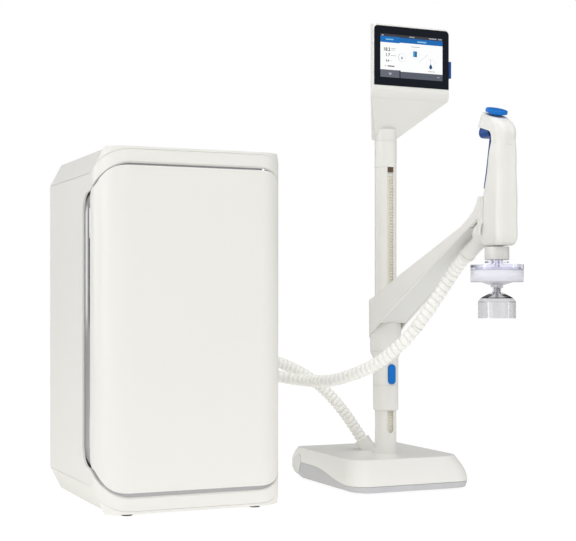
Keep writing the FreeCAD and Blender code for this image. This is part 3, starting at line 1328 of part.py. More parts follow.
def below_nose(lift):
    """Everything below the sloping underside of the gun's head, lifted by a distance."""
    def spot(back):
        return Vec(POD_X - BIG, GUN_Y + back, NOSE_Z + lift + NOSE_SLOPE * (back - NOSE_BACK))

    root = Vec(POD_X - BIG, GUN_Y + NOSE_ROOT, GUN_LOW)
    edges, _ = route_edges([spot(BIG), spot(NOSE_ROOT), root], bend=NOSE_BEND_R)
    rest = [root, Vec(POD_X - BIG, GUN_Y + BIG, GUN_LOW), spot(BIG)]
    edges += [Part.LineSegment(a, b).toShape() for a, b in zip(rest, rest[1:])]
    return Part.Face(Part.Wire(edges)).extrude(Vec(2 * BIG, 0, 0))


def gun_top():
    """Head of the gun, cut off square to the knob's axis, with the pocket for the pad."""
    wires = [oval_wire(z, back, w, d, HEAD_ROUND) for z, back, w, d in HEAD_SECTIONS]
    whole = Part.makeLoft(wires, True, False)
    cutter = rod(2 * BIG, KNOB_SEAT, KNOB_AXIS, BIG)
    return whole.cut([cutter, below_nose(0)])


def pad_pocket():
    """Hollow under the head that the pad moves in."""
    z, back, half_w, half_d = PAD_SECTIONS[-1]
    half = half_w + POCKET_GAP
    outline = rounded_wire(POD_X - half, POD_X + half, GUN_Y - half_d, GUN_Y + back + half_d + POCKET_GAP,
                           PAD_SECTIONS[0][0] - 1, 1.0, HEAD_ROUND * half_w)
    block = Part.Face(outline).extrude(Vec(0, 0, 30))
    behind = box(POD_X - BIG, POD_X + BIG, GUN_Y + POCKET_FRONT, GUN_Y + BIG, GUN_LOW, GUN_CEILING)
    return block.common(behind).common(below_nose(POCKET_RISE))


def gun_heel(grow):
    """Swelling at the bottom rear of the gun that the hose cuff leaves from."""
    root = Vec(POD_X, GUN_Y + CUFF_START_BACK, 0)
    root.z = CUFF_END_Z + (CUFF_END_BACK - CUFF_START_BACK) * CUFF_SLOPE
    outward = X_AXIS.cross(CUFF_DIR)
    runs = [run for run, _ in HEEL_PROFILE]
    runs[-1] += grow
    skin = [root + CUFF_DIR * run + outward * (radius + grow)
            for run, (_, radius) in zip(runs, HEEL_PROFILE)]
    curve = Part.BSplineCurve()
    curve.interpolate(skin)
    start, end = root + CUFF_DIR * runs[0], root + CUFF_DIR * runs[-1]
    edges = [Part.LineSegment(start, skin[0]).toShape(), curve.toShape(),
             Part.LineSegment(skin[-1], end).toShape(), Part.LineSegment(end, start).toShape()]
    return Part.Face(Part.Wire(edges)).revolve(root, CUFF_DIR, 360)


def heel_space(grow):
    """Room for the heel in the cradle while the gun is drawn out to the front."""
    heel = gun_heel(grow)
    return [heel] + [heel.translated(Vec(0, -step, 0)) for step in (6, 12, 18, 26, 36)]


def trigger_face(points, turn):
    """Side outline of the trigger's blade or pad, pulled by a number of degrees."""
    pivot = Vec(0, GUN_Y + TRIGGER_PIVOT_BACK, TRIGGER_PIVOT_Z)
    face = Part.Face(Part.makePolygon([Vec(0, GUN_Y + y, z) for y, z in points + points[:1]]))
    face.rotate(pivot, X_AXIS, turn)
    return face


def from_middle(face, width):
    solid = face.extrude(Vec(width, 0, 0))
    solid.translate(Vec(POD_X - width / 2, 0, 0))
    return solid


def trigger_trunnions(gap):
    start = Vec(POD_X - TRIGGER_PIN_L / 2 - gap, GUN_Y + TRIGGER_PIVOT_BACK, TRIGGER_PIVOT_Z)
    return rod(TRIGGER_PIN_R + gap, start, X_AXIS, TRIGGER_PIN_L + 2 * gap)


def trigger():
    """Lever on the rear of the handle, with a broad pad under the gun's head."""
    web = from_middle(trigger_face(TRIGGER_WEB, 0), TRIGGER_WEB_W)
    plate = from_middle(trigger_face(TRIGGER_PLATE, 0), TRIGGER_PLATE_W)
    tongue = from_middle(trigger_face(TRIGGER_TONGUE, 0), TRIGGER_TONGUE_W)
    wires = [oval_wire(z, back, w, d, HEAD_ROUND) for z, back, w, d in PAD_SECTIONS]
    pad = Part.makeLoft(wires, True, False).common(below_nose(PAD_RISE))
    pad = pad.common(box(POD_X - BIG, POD_X + BIG, GUN_Y + PAD_FRONT, GUN_Y + BIG, GUN_LOW, GUN_CEILING))
    return joined([web, plate, tongue, pad, trigger_trunnions(0)])


def trigger_room():
    """Slot and recess that the trigger swings in."""
    room = [pad_pocket()]
    for points, width in ((TRIGGER_WEB, TRIGGER_WEB_W), (TRIGGER_PLATE, TRIGGER_PLATE_W),
                          (TRIGGER_TONGUE, TRIGGER_TONGUE_W)):
        for step in range(5):
            turn = TRIGGER_PULL * step / 4
            grown = trigger_face(points, turn).makeOffset2D(2 * RUN_GAP, 2)
            room.append(from_middle(grown, width + 2 * RUN_GAP))
    return joined(room)


def gun_cavity():
    front = GUN_Y + GUN_CAVITY_FRONT
    outline = [(front, GUN_CAVITY_LOW)]
    outline += [(GUN_Y + back, z) for back, z in GUN_CAVITY_REAR]
    outline.append((front, GUN_CAVITY_HIGH))
    return prism_x(outline, POD_X - GUN_CAVITY_HALF_W, POD_X + GUN_CAVITY_HALF_W)


def gun_shells():
    """Left and right half of the gun's housing."""
    whole = joined([gun_handle(0), gun_top(), gun_heel(0)])
    under = box(POD_X - BIG, POD_X + BIG, GUN_Y - BIG, GUN_Y + 2 * BIG, GUN_LOW - BIG, GUN_LOW - 4)
    whole = whole.cut(under)
    at = Vec(POD_X, GUN_Y, 0)
    nozzle_hole = rod(NOZZLE_SPIGOT_R, at + Z_AXIS * 340, Z_AXIS, 40)
    stem_hole = rod(STEM_R + PIN_GAP, KNOB_SEAT - KNOB_AXIS * (STEM_L + KNOB_PRESS + 1), KNOB_AXIS, BIG)
    knob_well = rod(KNOB_BOSS_R + 2 * RUN_GAP, KNOB_SEAT - KNOB_AXIS * 4, KNOB_AXIS, BIG)
    pin_hole = trigger_trunnions(PIN_GAP)
    cuff_hole = rod(CUFF_R, CUFF_END - CUFF_DIR * 80, CUFF_DIR, 100)
    whole = whole.cut([gun_cavity(), nozzle_hole, stem_hole, knob_well, pin_hole, cuff_hole,
                       trigger_room()])
    low, high = GUN_LOW - BIG, KNOB_SEAT_Z + BIG
    left = whole.common(box(POD_X - BIG, POD_X, GUN_Y - BIG, GUN_Y + 2 * BIG, low, high))
    right = whole.common(box(POD_X, POD_X + BIG, GUN_Y - BIG, GUN_Y + 2 * BIG, low, high))
    return left, right


def gun_knob():
    """Disc on top of the gun; it turns on its stem."""
    start = KNOB_SEAT + KNOB_AXIS * KNOB_GAP
    disc = rod(KNOB_R, start, KNOB_AXIS, KNOB_T)
    rim = [e for e in disc.Edges if abs(e.Length - 2 * math.pi * KNOB_R) < 0.01]
    disc = disc.makeFillet(1.2, rim)
    boss = rod(KNOB_BOSS_R, start - KNOB_AXIS * 2.5, KNOB_AXIS, 3)
    bore = rod(STEM_R + PIN_GAP, start - KNOB_AXIS * 5, KNOB_AXIS, 5 + KNOB_T - 2)
    return joined([disc, boss]).cut(bore)


def knob_stem():
    start = KNOB_SEAT - KNOB_AXIS * STEM_L
    return rod(STEM_R, start, KNOB_AXIS, STEM_L + KNOB_GAP + KNOB_T - 2)


def hose_cuff():
    """Smooth cuff between the gun's heel and the hose."""
    length = 52.0
    start = CUFF_END - CUFF_DIR * length
    sleeve = rod(CUFF_R, start, CUFF_DIR, length)
    ring = rod(CUFF_R + 0.9, CUFF_END - CUFF_DIR * 5, CUFF_DIR, 5)
    return joined([sleeve, ring])


def nozzle_collar():
    at = Vec(POD_X, GUN_Y, 0)
    ring = rod(COLLAR_NOZZLE_R, at + Z_AXIS * COLLAR_NOZZLE_LOW, Z_AXIS,
               COLLAR_NOZZLE_HIGH - COLLAR_NOZZLE_LOW)
    spigot = rod(NOZZLE_SPIGOT_R, at + Z_AXIS * COLLAR_NOZZLE_LOW, Z_AXIS,
                 NOZZLE_SPIGOT_TOP - COLLAR_NOZZLE_LOW)
    bore = rod(NOZZLE_BORE_R, at + Z_AXIS * (COLLAR_NOZZLE_LOW - 1), Z_AXIS, 60)
    socket = rod(FILTER_NECK_R + RUN_GAP, at + Z_AXIS * (COLLAR_NOZZLE_LOW - 1), Z_AXIS,
                 FILTER_NECK_TOP + RUN_GAP - COLLAR_NOZZLE_LOW + 1)
    return joined([ring, spigot]).cut([bore, socket])


def gun_valve():
    """Shut-off valve in the handle, on the nozzle's spigot."""
    z0 = NOZZLE_SPIGOT_TOP
    block = box(POD_X - VALVE_W / 2, POD_X + VALVE_W / 2, GUN_Y - VALVE_FRONT, GUN_Y + VALVE_REAR,
                z0, VALVE_TOP)
    stem = rod(4, Vec(POD_X, GUN_Y - 8, VALVE_TOP - 1), Z_AXIS, 34)
    return joined([block, stem])


# ---- filter and bell ------------------------------------------------------------------------------
def filter_lid():
    """Clear upper half of the final filter with its bayonet wings."""
    at = Vec(POD_X, GUN_Y, 0)
    disc = rod(FILTER_LID_RIM_R, at + Z_AXIS * FILTER_SEAM, Z_AXIS, FILTER_TOP - FILTER_SEAM)
    disc = disc.cut(rod(MEMBRANE_R + 1, at + Z_AXIS * FILTER_SEAM, Z_AXIS, 2.5))
    neck = rod(FILTER_NECK_R, at + Z_AXIS * (FILTER_TOP - 1), Z_AXIS, FILTER_NECK_TOP - FILTER_TOP + 1)
    wings = box(POD_X - WING_L / 2, POD_X + WING_L / 2, GUN_Y - WING_W / 2, GUN_Y + WING_W / 2,
                WING_Z, WING_Z + WING_T)
    bore = rod(2.5, at + Z_AXIS * FILTER_SEAM, Z_AXIS, 40)
    return joined([disc, neck, wings]).cut(bore)


def filter_body():
    """Lower half of the filter with its funnel, hexagon and spout."""
    at = Vec(POD_X, GUN_Y, 0)
    cup = rod(FILTER_BODY_R, at + Z_AXIS * FILTER_LOW, Z_AXIS, FILTER_SEAM - FILTER_LOW)
    cup = cup.cut(rod(MEMBRANE_R + 1, at + Z_AXIS * (FILTER_LOW + FILTER_WALL), Z_AXIS, BIG))
    funnel = Part.makeCone(FUNNEL_R, 2 * FUNNEL_R, FILTER_LOW - FUNNEL_LOW, at + Z_AXIS * FUNNEL_LOW)
    sides = [at + Vec(HEX_R * math.cos(math.radians(60 * i)), HEX_R * math.sin(math.radians(60 * i)),
                      HEX_LOW) for i in range(7)]
    hexagon = Part.Face(Part.makePolygon(sides)).extrude(Vec(0, 0, FUNNEL_LOW - HEX_LOW))
    outlet = rod(OUTLET_R, at + Z_AXIS * OUTLET_LOW, Z_AXIS, HEX_LOW - OUTLET_LOW)
    spout = rod(SPOUT_R, at + Z_AXIS * SPOUT_LOW, Z_AXIS, OUTLET_LOW - SPOUT_LOW)
    bore = rod(SPOUT_BORE_R, at + Z_AXIS * (SPOUT_LOW - 1), Z_AXIS, 40)
    return joined([cup, funnel, hexagon, outlet, spout]).cut(bore)


def filter_membranes():
    """Stack of membrane discs standing on the filter's floor, spaced by a hub."""
    z0 = FILTER_LOW + FILTER_WALL
    at = Vec(POD_X, GUN_Y, z0)
    height = (MEMBRANE_COUNT - 1) * MEMBRANE_PITCH + MEMBRANE_T
    discs = [rod(MEMBRANE_R, at + Z_AXIS * (i * MEMBRANE_PITCH), Z_AXIS, MEMBRANE_T)
             for i in range(MEMBRANE_COUNT)]
    hub = rod(6, at, Z_AXIS, height)
    return joined([hub] + discs).cut(rod(2.5, at - Z_AXIS, Z_AXIS, height + 2))


def outlet_bell():
    """Clear bell that keeps the outlet clean."""
    at = Vec(POD_X, GUN_Y, 0)
    w = BELL_WALL
    bore = OUTLET_R + PIN_GAP
    profile = [(bore, BELL_NECK_TOP), (BELL_NECK_R, BELL_NECK_TOP), (BELL_NECK_R, BELL_THROAT),
               (BELL_SHOULDER_R, BELL_SHOULDER_Z), (BELL_R, BELL_EDGE_Z), (BELL_R, BELL_LOW),
               (BELL_R - w, BELL_LOW), (BELL_R - w, BELL_EDGE_Z - 0.6),
               (BELL_SHOULDER_R - 0.8, BELL_SHOULDER_Z - w), (bore, BELL_THROAT - 1 - w)]
    return turned(profile, at)


# ---- hoses ------------------------------------------------------------------------------------------
def route_edges(points, bend_share=None, bend=None):
    """Straight runs joined by tangent arcs; returns the edges and the arcs' radii."""
    edges, radii = [], []
    last = points[0]
    for before, here, after in zip(points, points[1:], points[2:]):
        back, ahead = (before - here), (after - here)
        shorter = min(back.Length, ahead.Length)
        back, ahead = Vec(back).normalize(), Vec(ahead).normalize()
        half_turn = (math.pi - back.getAngle(ahead)) / 2
        reach = bend_share * shorter if bend_share else bend * math.tan(half_turn)
        radius = reach / math.tan(half_turn)
        start, end = here + back * reach, here + ahead * reach
        middle_dir = (back + ahead).normalize()
        centre = here + middle_dir * (radius / math.cos(half_turn))
        top = centre - middle_dir * radius
        if (start - last).Length > 1e-6:
            edges.append(Part.LineSegment(last, start).toShape())
        edges.append(Part.Arc(start, top, end).toShape())
        radii.append(radius)
        last = end
    edges.append(Part.LineSegment(last, points[-1]).toShape())
    return edges, radii


def sweep(edges, points, radius):
    path = Part.Wire(edges)
    ring = Part.Wire(Part.makeCircle(radius, points[0], points[1] - points[0]))
    return path.makePipeShell([ring], True, True), path


def route_tube(points, radius, bend):
    edges, _ = route_edges(points, bend=bend)
    tube, _ = sweep(edges, points, radius)
    return tube


def free_hose(name, points, radius):
    """Tube of a free hose; prints its radii, and its volume against section times length."""
    edges, radii = route_edges(points, bend_share=0.45)
    tube, path = sweep(edges, points, radius)
    section = math.pi * radius * radius
    print(name, "radii", [round(r) for r in radii], "length", round(path.Length, 1),
          "volume share", round(tube.Volume / (section * path.Length), 4))
    return tube


def hose_points(gland, route, end, end_direction):
    """Route from a gland, straight out of it and straight into the far fitting."""
    start = Vec(GLAND_X, gland[0], gland[1])
    first = [start, start + X_AXIS * HOSE_FIRST_RUN]
    last = [end + end_direction * HOSE_FIRST_RUN, end]
    return first + [Vec(*p) for p in route] + last


def gun_hose_parts():
    """The hose up to the arm, and the rest that travels with the arm."""
    points = hose_points(GUN_HOSE_START, GUN_HOSE_ROUTE + ARM_HOSE_ROUTE, CUFF_END, CUFF_DIR)
    at = len(GUN_HOSE_ROUTE) + 2
    middle = (points[at - 1] + points[at]) * 0.5
    apart = (points[at] - points[at - 1]).normalize() * (HOSE_SPLIT_GAP / 2)
    lower = free_hose("gun_hose_lower", points[:at] + [middle - apart], HOSE_R)
    upper = free_hose("gun_hose_upper", [middle + apart] + points[at:], HOSE_R)
    return lower, upper


def base_hose():
    points = hose_points(BASE_HOSE_START, BASE_HOSE_ROUTE, BOSS_END, BOSS_DIR)
    return free_hose("base_hose", points, HOSE_R)


# ---- assembly ----------------------------------------------------------------------------------------
HOSE_NODES = ("gun_hose_lower", "gun_hose_upper", "base_hose")


def build():
    shell = case_shell()
    nodes = {
        "casing_wrap": casing_wrap(shell),
        "top_cover": top_cover(shell),
        "base_pan": base_pan(shell),
        "grip_trim": grip_trim(),
        "front_door": front_door(),
        "door_liner": door_liner(),
        "door_leaves": door_leaves(),
        "hinge_brackets": hinge_brackets(),
        "door_magnet": door_magnet(),
        "rubber_feet": rubber_feet(),
        "chassis_frame": chassis_frame(),
        "cartridge_left": cartridge(cartridge_places()[0]),
        "cartridge_right": cartridge(cartridge_places()[1]),
        "cartridge_dock": cartridge_dock(),
        "feed_pump": feed_pump(),
        "lamp_housing": lamp_housing(),
        "valve_block": valve_block(),
        "purity_monitor": purity_monitor(),
        "power_supply": power_supply(),
        "main_board": main_board(),
        "water_lines": water_lines(),
        "back_panel": back_panel(),
        "mains_inlet": mains_inlet(),
        "power_rocker": power_rocker(),
        "water_ports": water_ports(),
        "hose_glands": hose_glands(),
        "panel_screws": panel_screws(),
        "base_cover": base_cover(),
        "base_tray": base_tray(),
        "base_weight": base_weight(),
        "side_cap": side_cap(),
        "column_tube": column_tube(),
        "column_rack": column_rack(),
        "head_collar": head_collar(),
        "slot_stop": slot_stop(),
        "head_bezel": head_bezel(),
        "head_shell": head_shell(),
        "screen_glass": screen_glass(),
        "screen_panel": screen_panel(),
        "usb_tab": tab_block(0, 0),
        "carriage_sleeve": carriage_sleeve(),
        "arm_shell": arm_shell(),
        "arm_cover": arm_cover(),
        "release_button": release_button(),
        "lock_pawl": lock_pawl(),
    }
    left, right = gun_shells()
    nodes["gun_shell_left"] = left
    nodes["gun_shell_right"] = right
    nodes["gun_knob"] = gun_knob()
    nodes["knob_stem"] = knob_stem()
    nodes["trigger"] = trigger()
    nodes["hose_cuff"] = hose_cuff()
    nodes["nozzle_collar"] = nozzle_collar()
    nodes["gun_valve"] = gun_valve()
    nodes["filter_lid"] = filter_lid()
    nodes["filter_body"] = filter_body()
    nodes["filter_membranes"] = filter_membranes()
    nodes["outlet_bell"] = outlet_bell()
    lower, upper = gun_hose_parts()
    nodes["gun_hose_lower"] = lower
    nodes["gun_hose_upper"] = upper
    nodes["base_hose"] = base_hose()
    return nodes


def footprint_centre(nodes):
    """Middle of the box round everything but the free hoses, on the bench."""
    bound = FreeCAD.BoundBox()
    for name, shape in nodes.items():
        if name not in HOSE_NODES:
            bound.add(shape.optimalBoundingBox(True, False))
    return Vec(bound.Center.x, bound.Center.y, 0)


def main():
    os.makedirs("parts", exist_ok=True)
    nodes = build()
    centre = footprint_centre(nodes)
    print("bench frame origin to part origin", centre)
    for name, shape in nodes.items():
        shape.translated(centre * -1).exportStep("parts/" + name + ".step")


main()
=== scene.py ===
import json
import math

import bpy
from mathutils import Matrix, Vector


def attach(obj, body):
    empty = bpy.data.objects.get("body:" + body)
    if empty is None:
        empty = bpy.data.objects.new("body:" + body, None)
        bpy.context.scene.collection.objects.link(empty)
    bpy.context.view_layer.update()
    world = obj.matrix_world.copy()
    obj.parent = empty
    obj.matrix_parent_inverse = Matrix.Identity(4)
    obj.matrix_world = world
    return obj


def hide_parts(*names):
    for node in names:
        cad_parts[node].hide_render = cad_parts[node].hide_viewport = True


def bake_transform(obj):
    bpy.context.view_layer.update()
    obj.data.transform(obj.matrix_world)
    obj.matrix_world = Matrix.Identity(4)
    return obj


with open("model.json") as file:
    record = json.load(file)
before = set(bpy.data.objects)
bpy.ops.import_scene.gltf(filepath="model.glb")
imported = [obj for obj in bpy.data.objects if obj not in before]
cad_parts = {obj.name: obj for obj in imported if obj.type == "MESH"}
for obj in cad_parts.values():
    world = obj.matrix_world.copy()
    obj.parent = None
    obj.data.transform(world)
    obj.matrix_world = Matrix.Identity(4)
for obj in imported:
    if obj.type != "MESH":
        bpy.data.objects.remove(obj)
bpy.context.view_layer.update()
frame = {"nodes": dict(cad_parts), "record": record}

# Bench millimetres (x = 0 the unit's left flank, y = 0 its front face, z = 0 the bench)
# are turned into the frame's metres by at().
BENCH = Vector((-301.60522, -42.6, 0.0))
MM_IN_METRE = 1000


def at(x, y, z):
    return (Vector((x, y, z)) + BENCH) / MM_IN_METRE


# ---- camera --------------------------------------------------------------------------
CAMERA_YAW = math.radians(23.59)
CAMERA_AT = at(-466.99, -1688.99, 289.71)
FOCAL_PX = 1310.0
VIEW_WIDTH_PX = 576
HORIZON_DROP_PX = 30.34
SENSOR_WIDTH = 36.0
NEAREST, FARTHEST = 0.05, 60


def set_camera():
    data = bpy.data.cameras.new("camera")
    data.sensor_width = SENSOR_WIDTH
    data.lens = FOCAL_PX / VIEW_WIDTH_PX * SENSOR_WIDTH
    data.shift_y = HORIZON_DROP_PX / VIEW_WIDTH_PX
    data.clip_start = NEAREST
    data.clip_end = FARTHEST
    camera = bpy.data.objects.new("camera", data)
    camera.location = CAMERA_AT
    camera.rotation_euler = (math.radians(90), 0, -CAMERA_YAW)
    bpy.context.collection.objects.link(camera)
    bpy.context.scene.camera = camera


# ---- mesh helpers --------------------------------------------------------------------
def mesh_piece(name, points, faces, materials, smooth=True, face_slots=None):
    """A piece from points and faces; face_slots picks a material for each face."""
    mesh = bpy.data.meshes.new(name)
    mesh.from_pydata([tuple(p) for p in points], [], faces)
    for material in materials:
        mesh.materials.append(material)
    for i, polygon in enumerate(mesh.polygons):
        polygon.use_smooth = smooth
        if face_slots:
            polygon.material_index = face_slots[i]
    mesh.update()
    piece = bpy.data.objects.new(name, mesh)
    bpy.context.collection.objects.link(piece)
    return piece


def read_curve(name, data):
    """The mesh that a curve or a line of figures gives; the object itself isn't kept."""
    line = bpy.data.objects.new(name, data)
    bpy.context.collection.objects.link(line)
    mesh = bpy.data.meshes.new_from_object(line)
    bpy.data.objects.remove(line)
    return mesh


# ---- shader helpers ------------------------------------------------------------------
# The colour sockets of a Mix node, which share their names with its other sockets.
MIX_FACTOR, MIX_LOW, MIX_HIGH, MIX_RESULT = 0, 6, 7, 2


class Wire:
    """An output socket of a material's nodes; sums and products of wires add Math nodes."""

    def __init__(self, tree, socket=None):
        self.tree = tree
        self.socket = socket

    def node(self, kind, settings=None, inputs=None, out=0):
        made = self.tree.nodes.new("ShaderNode" + kind)
        for name, value in (settings or {}).items():
            setattr(made, name, value)
        for key, value in (inputs or {}).items():
            if isinstance(value, Wire):
                self.tree.links.new(value.socket, made.inputs[key])
            else:
                made.inputs[key].default_value = value
        return Wire(self.tree, made.outputs[out])

    def also(self, output):
        """Another output of the same node."""
        return Wire(self.tree, self.socket.node.outputs[output])

    def math(self, operation, *values):
        return self.node("Math", {"operation": operation}, dict(enumerate(values)))

    def __add__(self, other):
        return self.math("ADD", self, other)

    def __radd__(self, other):
        return self.math("ADD", other, self)

    def __sub__(self, other):
        return self.math("SUBTRACT", self, other)

    def __rsub__(self, other):
        return self.math("SUBTRACT", other, self)

    def __mul__(self, other):
        return self.math("MULTIPLY", self, other)

    def __rmul__(self, other):
        return self.math("MULTIPLY", other, self)

    def above(self, limit):
        return self.math("GREATER_THAN", self, limit)

    def within(self, reach, middle):
        return self.math("COMPARE", self, middle, reach)

    def clamped(self, low, high):
        return self.math("MINIMUM", self.math("MAXIMUM", self, low), high)

    def ramped(self, start, end, first, last):
        """Runs from first to last while this value runs from start to end."""
        return self.node("MapRange", {}, {"Value": self, "From Min": start, "From Max": end,
                                          "To Min": first, "To Max": last})


def rgba(colour):
    return (*colour, 1.0)


def new_material(name):
    material = bpy.data.materials.new(name)
    material.use_nodes = True
    tree = material.node_tree
    tree.nodes.clear()
    return material, Wire(tree)


def close_tree(maker, surface, output="OutputMaterial"):
    end = maker.tree.nodes.new("ShaderNode" + output)
    maker.tree.links.new(surface.socket, end.inputs["Surface"])


def principled(maker, inputs):
    close_tree(maker, maker.node("BsdfPrincipled", {}, inputs))


def mixed(maker, factor, first, second):
    return maker.node("MixShader", {}, {0: factor, 1: first, 2: second})


def object_place(maker):
    return maker.node("TexCoord", out="Object")


def noise(maker, place, scale, detail=2.0, roughness=0.5):
    """Noise with so many cells a metre."""
    return maker.node("TexNoise", {}, {"Vector": place, "Scale": scale, "Detail": detail,
                                       "Roughness": roughness})


def swing(pattern, amount):
    """The same pattern either side of nought, by half the amount at most."""
    return (pattern - 0.5) * amount


def shifted(colour, share):
    return tuple(min(1.0, max(0.0, c * (1 + share))) for c in colour)


def tinted(maker, pattern, colour, darker, lighter):
    """The colour, a share darker where the pattern is low and lighter where it is high."""
    return maker.node("Mix", {"data_type": "RGBA"}, {
        MIX_FACTOR: pattern, MIX_LOW: rgba(shifted(colour, -darker)),
        MIX_HIGH: rgba(shifted(colour, lighter))}, out=MIX_RESULT)


def relief(maker, height, strength, depth, edge=None):
    """Fine relief, over hard edges that the shading rounds as a mould's small radii do."""
    inputs = {"Strength": strength, "Distance": depth, "Height": height}
    if edge:
        inputs["Normal"] = maker.node("Bevel", {"samples": 6}, {"Radius": edge})
    return maker.node("Bump", {}, inputs)


# ---- finishes ------------------------------------------------------------------------
def moulded(name, colour, roughness, vary=0.012, grain=0.06, specular=0.5):
    """Injection-moulded plastic: fine spark-eroded grain and a faint drift of tone."""
    material, maker = new_material(name)
    place = object_place(maker)
    drift = noise(maker, place, 9.0, detail=3.0)
    mottle = noise(maker, place, 260.0)
    sparks = noise(maker, place, 2600.0, roughness=0.6)
    principled(maker, {
        "Base Color": tinted(maker, drift, colour, darker=vary, lighter=vary),
        "Roughness": roughness + swing(mottle, 0.10) + swing(sparks, 0.08),
        "Normal": relief(maker, sparks, strength=grain, depth=0.00012, edge=0.0007),
        "Specular IOR Level": specular})
    return material


def painted(name, colour, roughness=0.38):
    """Powder-painted metal with a faint orange peel."""
    material, maker = new_material(name)
    place = object_place(maker)
    drift = noise(maker, place, 7.0, detail=3.0)
    peel = noise(maker, place, 620.0, detail=1.5)
    principled(maker, {
        "Base Color": tinted(maker, drift, colour, darker=0.02, lighter=0.02),
        "Roughness": roughness + swing(peel, 0.12),
        "Normal": relief(maker, peel, strength=0.10, depth=0.0002, edge=0.0006)})
    return material


def metal(name, colour, roughness, streak=(0.06, 1.0, 1.0)):
    """Bare metal with fine rolling or brushing lines along the axis that streak makes long."""
    material, maker = new_material(name)
    place = object_place(maker)
    drawn = maker.node("VectorMath", {"operation": "MULTIPLY"}, {0: place, 1: streak})
    lines = noise(maker, drawn, 2400.0, roughness=0.7)
    patch = noise(maker, place, 30.0, detail=3.0)
    principled(maker, {
        "Base Color": tinted(maker, patch, colour, darker=0.05, lighter=0.05),
        "Metallic": 1.0,
        "Roughness": roughness + swing(lines, 0.22) + swing(patch, 0.08),
        "Normal": relief(maker, lines, strength=0.12, depth=0.00008, edge=0.0004)})
    return material


def rubber(name, colour):
    """Dull rubber with some dust in its pores."""
    material, maker = new_material(name)
    place = object_place(maker)
    dust = noise(maker, place, 90.0, detail=4.0, roughness=0.65)
    pores = noise(maker, place, 1900.0)
    principled(maker, {
        "Base Color": tinted(maker, dust, colour, darker=0.15, lighter=0.35),
        "Roughness": 0.72 + swing(dust, 0.2),
        "Normal": relief(maker, pores, strength=0.2, depth=0.0002, edge=0.0006)})
    return material


def clear(name, colour, roughness=0.05, ior=1.49, through=1.0):
    """Clear moulded plastic with faint flow marks; milky where less goes through."""
    material, maker = new_material(name)
    place = object_place(maker)
    flow = noise(maker, place, 70.0, detail=3.0)
    fine = noise(maker, place, 900.0)
    principled(maker, {
        "Base Color": tinted(maker, flow, colour, darker=0.02, lighter=0.02),
        "Roughness": roughness + swing(fine, 0.03),
        "Normal": relief(maker, flow + fine * 0.3, strength=0.05, depth=0.0002),
        "Transmission Weight": through, "IOR": ior})
    return material


def glowing(name, colour):
    """A colour of the lit display, with the backlight's faint unevenness."""
    material, maker = new_material(name)
    drift = noise(maker, object_place(maker), 22.0)
    principled(maker, {
        "Base Color": rgba((0.01, 0.01, 0.012)), "Roughness": 0.2, "Specular IOR Level": 0.12,
        "Emission Color": tinted(maker, drift, colour, darker=0.03, lighter=0.03),
        "Emission Strength": 1.0})
    return material


# ---- materials -----------------------------------------------------------------------
# One look for each material slot of the nodes.
MOULDED = {
    "white_shell": dict(colour=(0.835, 0.828, 0.795), roughness=0.40),
    "light_grey": dict(colour=(0.74, 0.74, 0.725), roughness=0.45),
    "base_grey": dict(colour=(0.56, 0.56, 0.58), roughness=0.5),
    "dark_plastic": dict(colour=(0.022, 0.022, 0.025), roughness=0.35),
    "port_plastic": dict(colour=(0.16, 0.17, 0.19), roughness=0.4),
    "blue_plastic": dict(colour=(0.003, 0.17, 0.60), roughness=0.34, specular=0.22),
    "dark_blue": dict(colour=(0.008, 0.06, 0.26), roughness=0.4, specular=0.2),
    "membrane": dict(colour=(0.84, 0.84, 0.90), roughness=0.6),
    "cartridge_shell": dict(colour=(0.48, 0.54, 0.60), roughness=0.35),
    "circuit_board": dict(colour=(0.01, 0.10, 0.035), roughness=0.4),
    "screen_face": dict(colour=(0.007, 0.009, 0.015), roughness=0.12, vary=0.05, grain=0.0,
                        specular=0.12),
    "hose_plastic": dict(colour=(0.93, 0.925, 0.89), roughness=0.42),
    "rack_beige": dict(colour=(0.80, 0.76, 0.66), roughness=0.5),
}
PAINTED = {
    "column_paint": dict(colour=(0.85, 0.845, 0.81)),
    "grey_sheet": dict(colour=(0.36, 0.37, 0.38)),
    "dark_metal": dict(colour=(0.03, 0.033, 0.04)),
    "ballast_iron": dict(colour=(0.05, 0.05, 0.05), roughness=0.6),
}
METAL = {
    "bright_trim": dict(colour=(0.39, 0.39, 0.40), roughness=0.12, streak=(1.0, 1.0, 0.05)),
    "steel": dict(colour=(0.55, 0.55, 0.56), roughness=0.32),
    "bare_aluminium": dict(colour=(0.66, 0.67, 0.68), roughness=0.38),
}
RUBBER = {
    "brown_buffer": dict(colour=(0.10, 0.06, 0.035)),
    "dark_rubber": dict(colour=(0.02, 0.02, 0.02)),
}
CLEAR = {
    "clear_plastic": dict(colour=(0.80, 0.80, 0.92), ior=1.42),
}
FINISHES = {}
for finish, looks in ((moulded, MOULDED), (painted, PAINTED), (metal, METAL), (rubber, RUBBER),
                      (clear, CLEAR)):
    for slot, look in looks.items():
        FINISHES[slot] = finish(slot, **look)

# Nodes whose own plastic differs from the rest of their slot.
OWN_FINISHES = {
    "outlet_bell": clear("bell_plastic", (0.825, 0.825, 0.835), roughness=0.02, ior=1.4),
    "filter_body": clear("filter_body_plastic", (0.86, 0.86, 0.93), roughness=0.2, ior=1.35,
                         through=0.35),
}


def finish_nodes():
    for row in frame["record"]["subparts"]:
        node = frame["nodes"][row["node"]]
        material = OWN_FINISHES.get(row["node"], FINISHES[row["material_slot"]])
        if not node.material_slots:
            node.data.materials.append(material)
        for entry in node.material_slots:
            entry.material = material


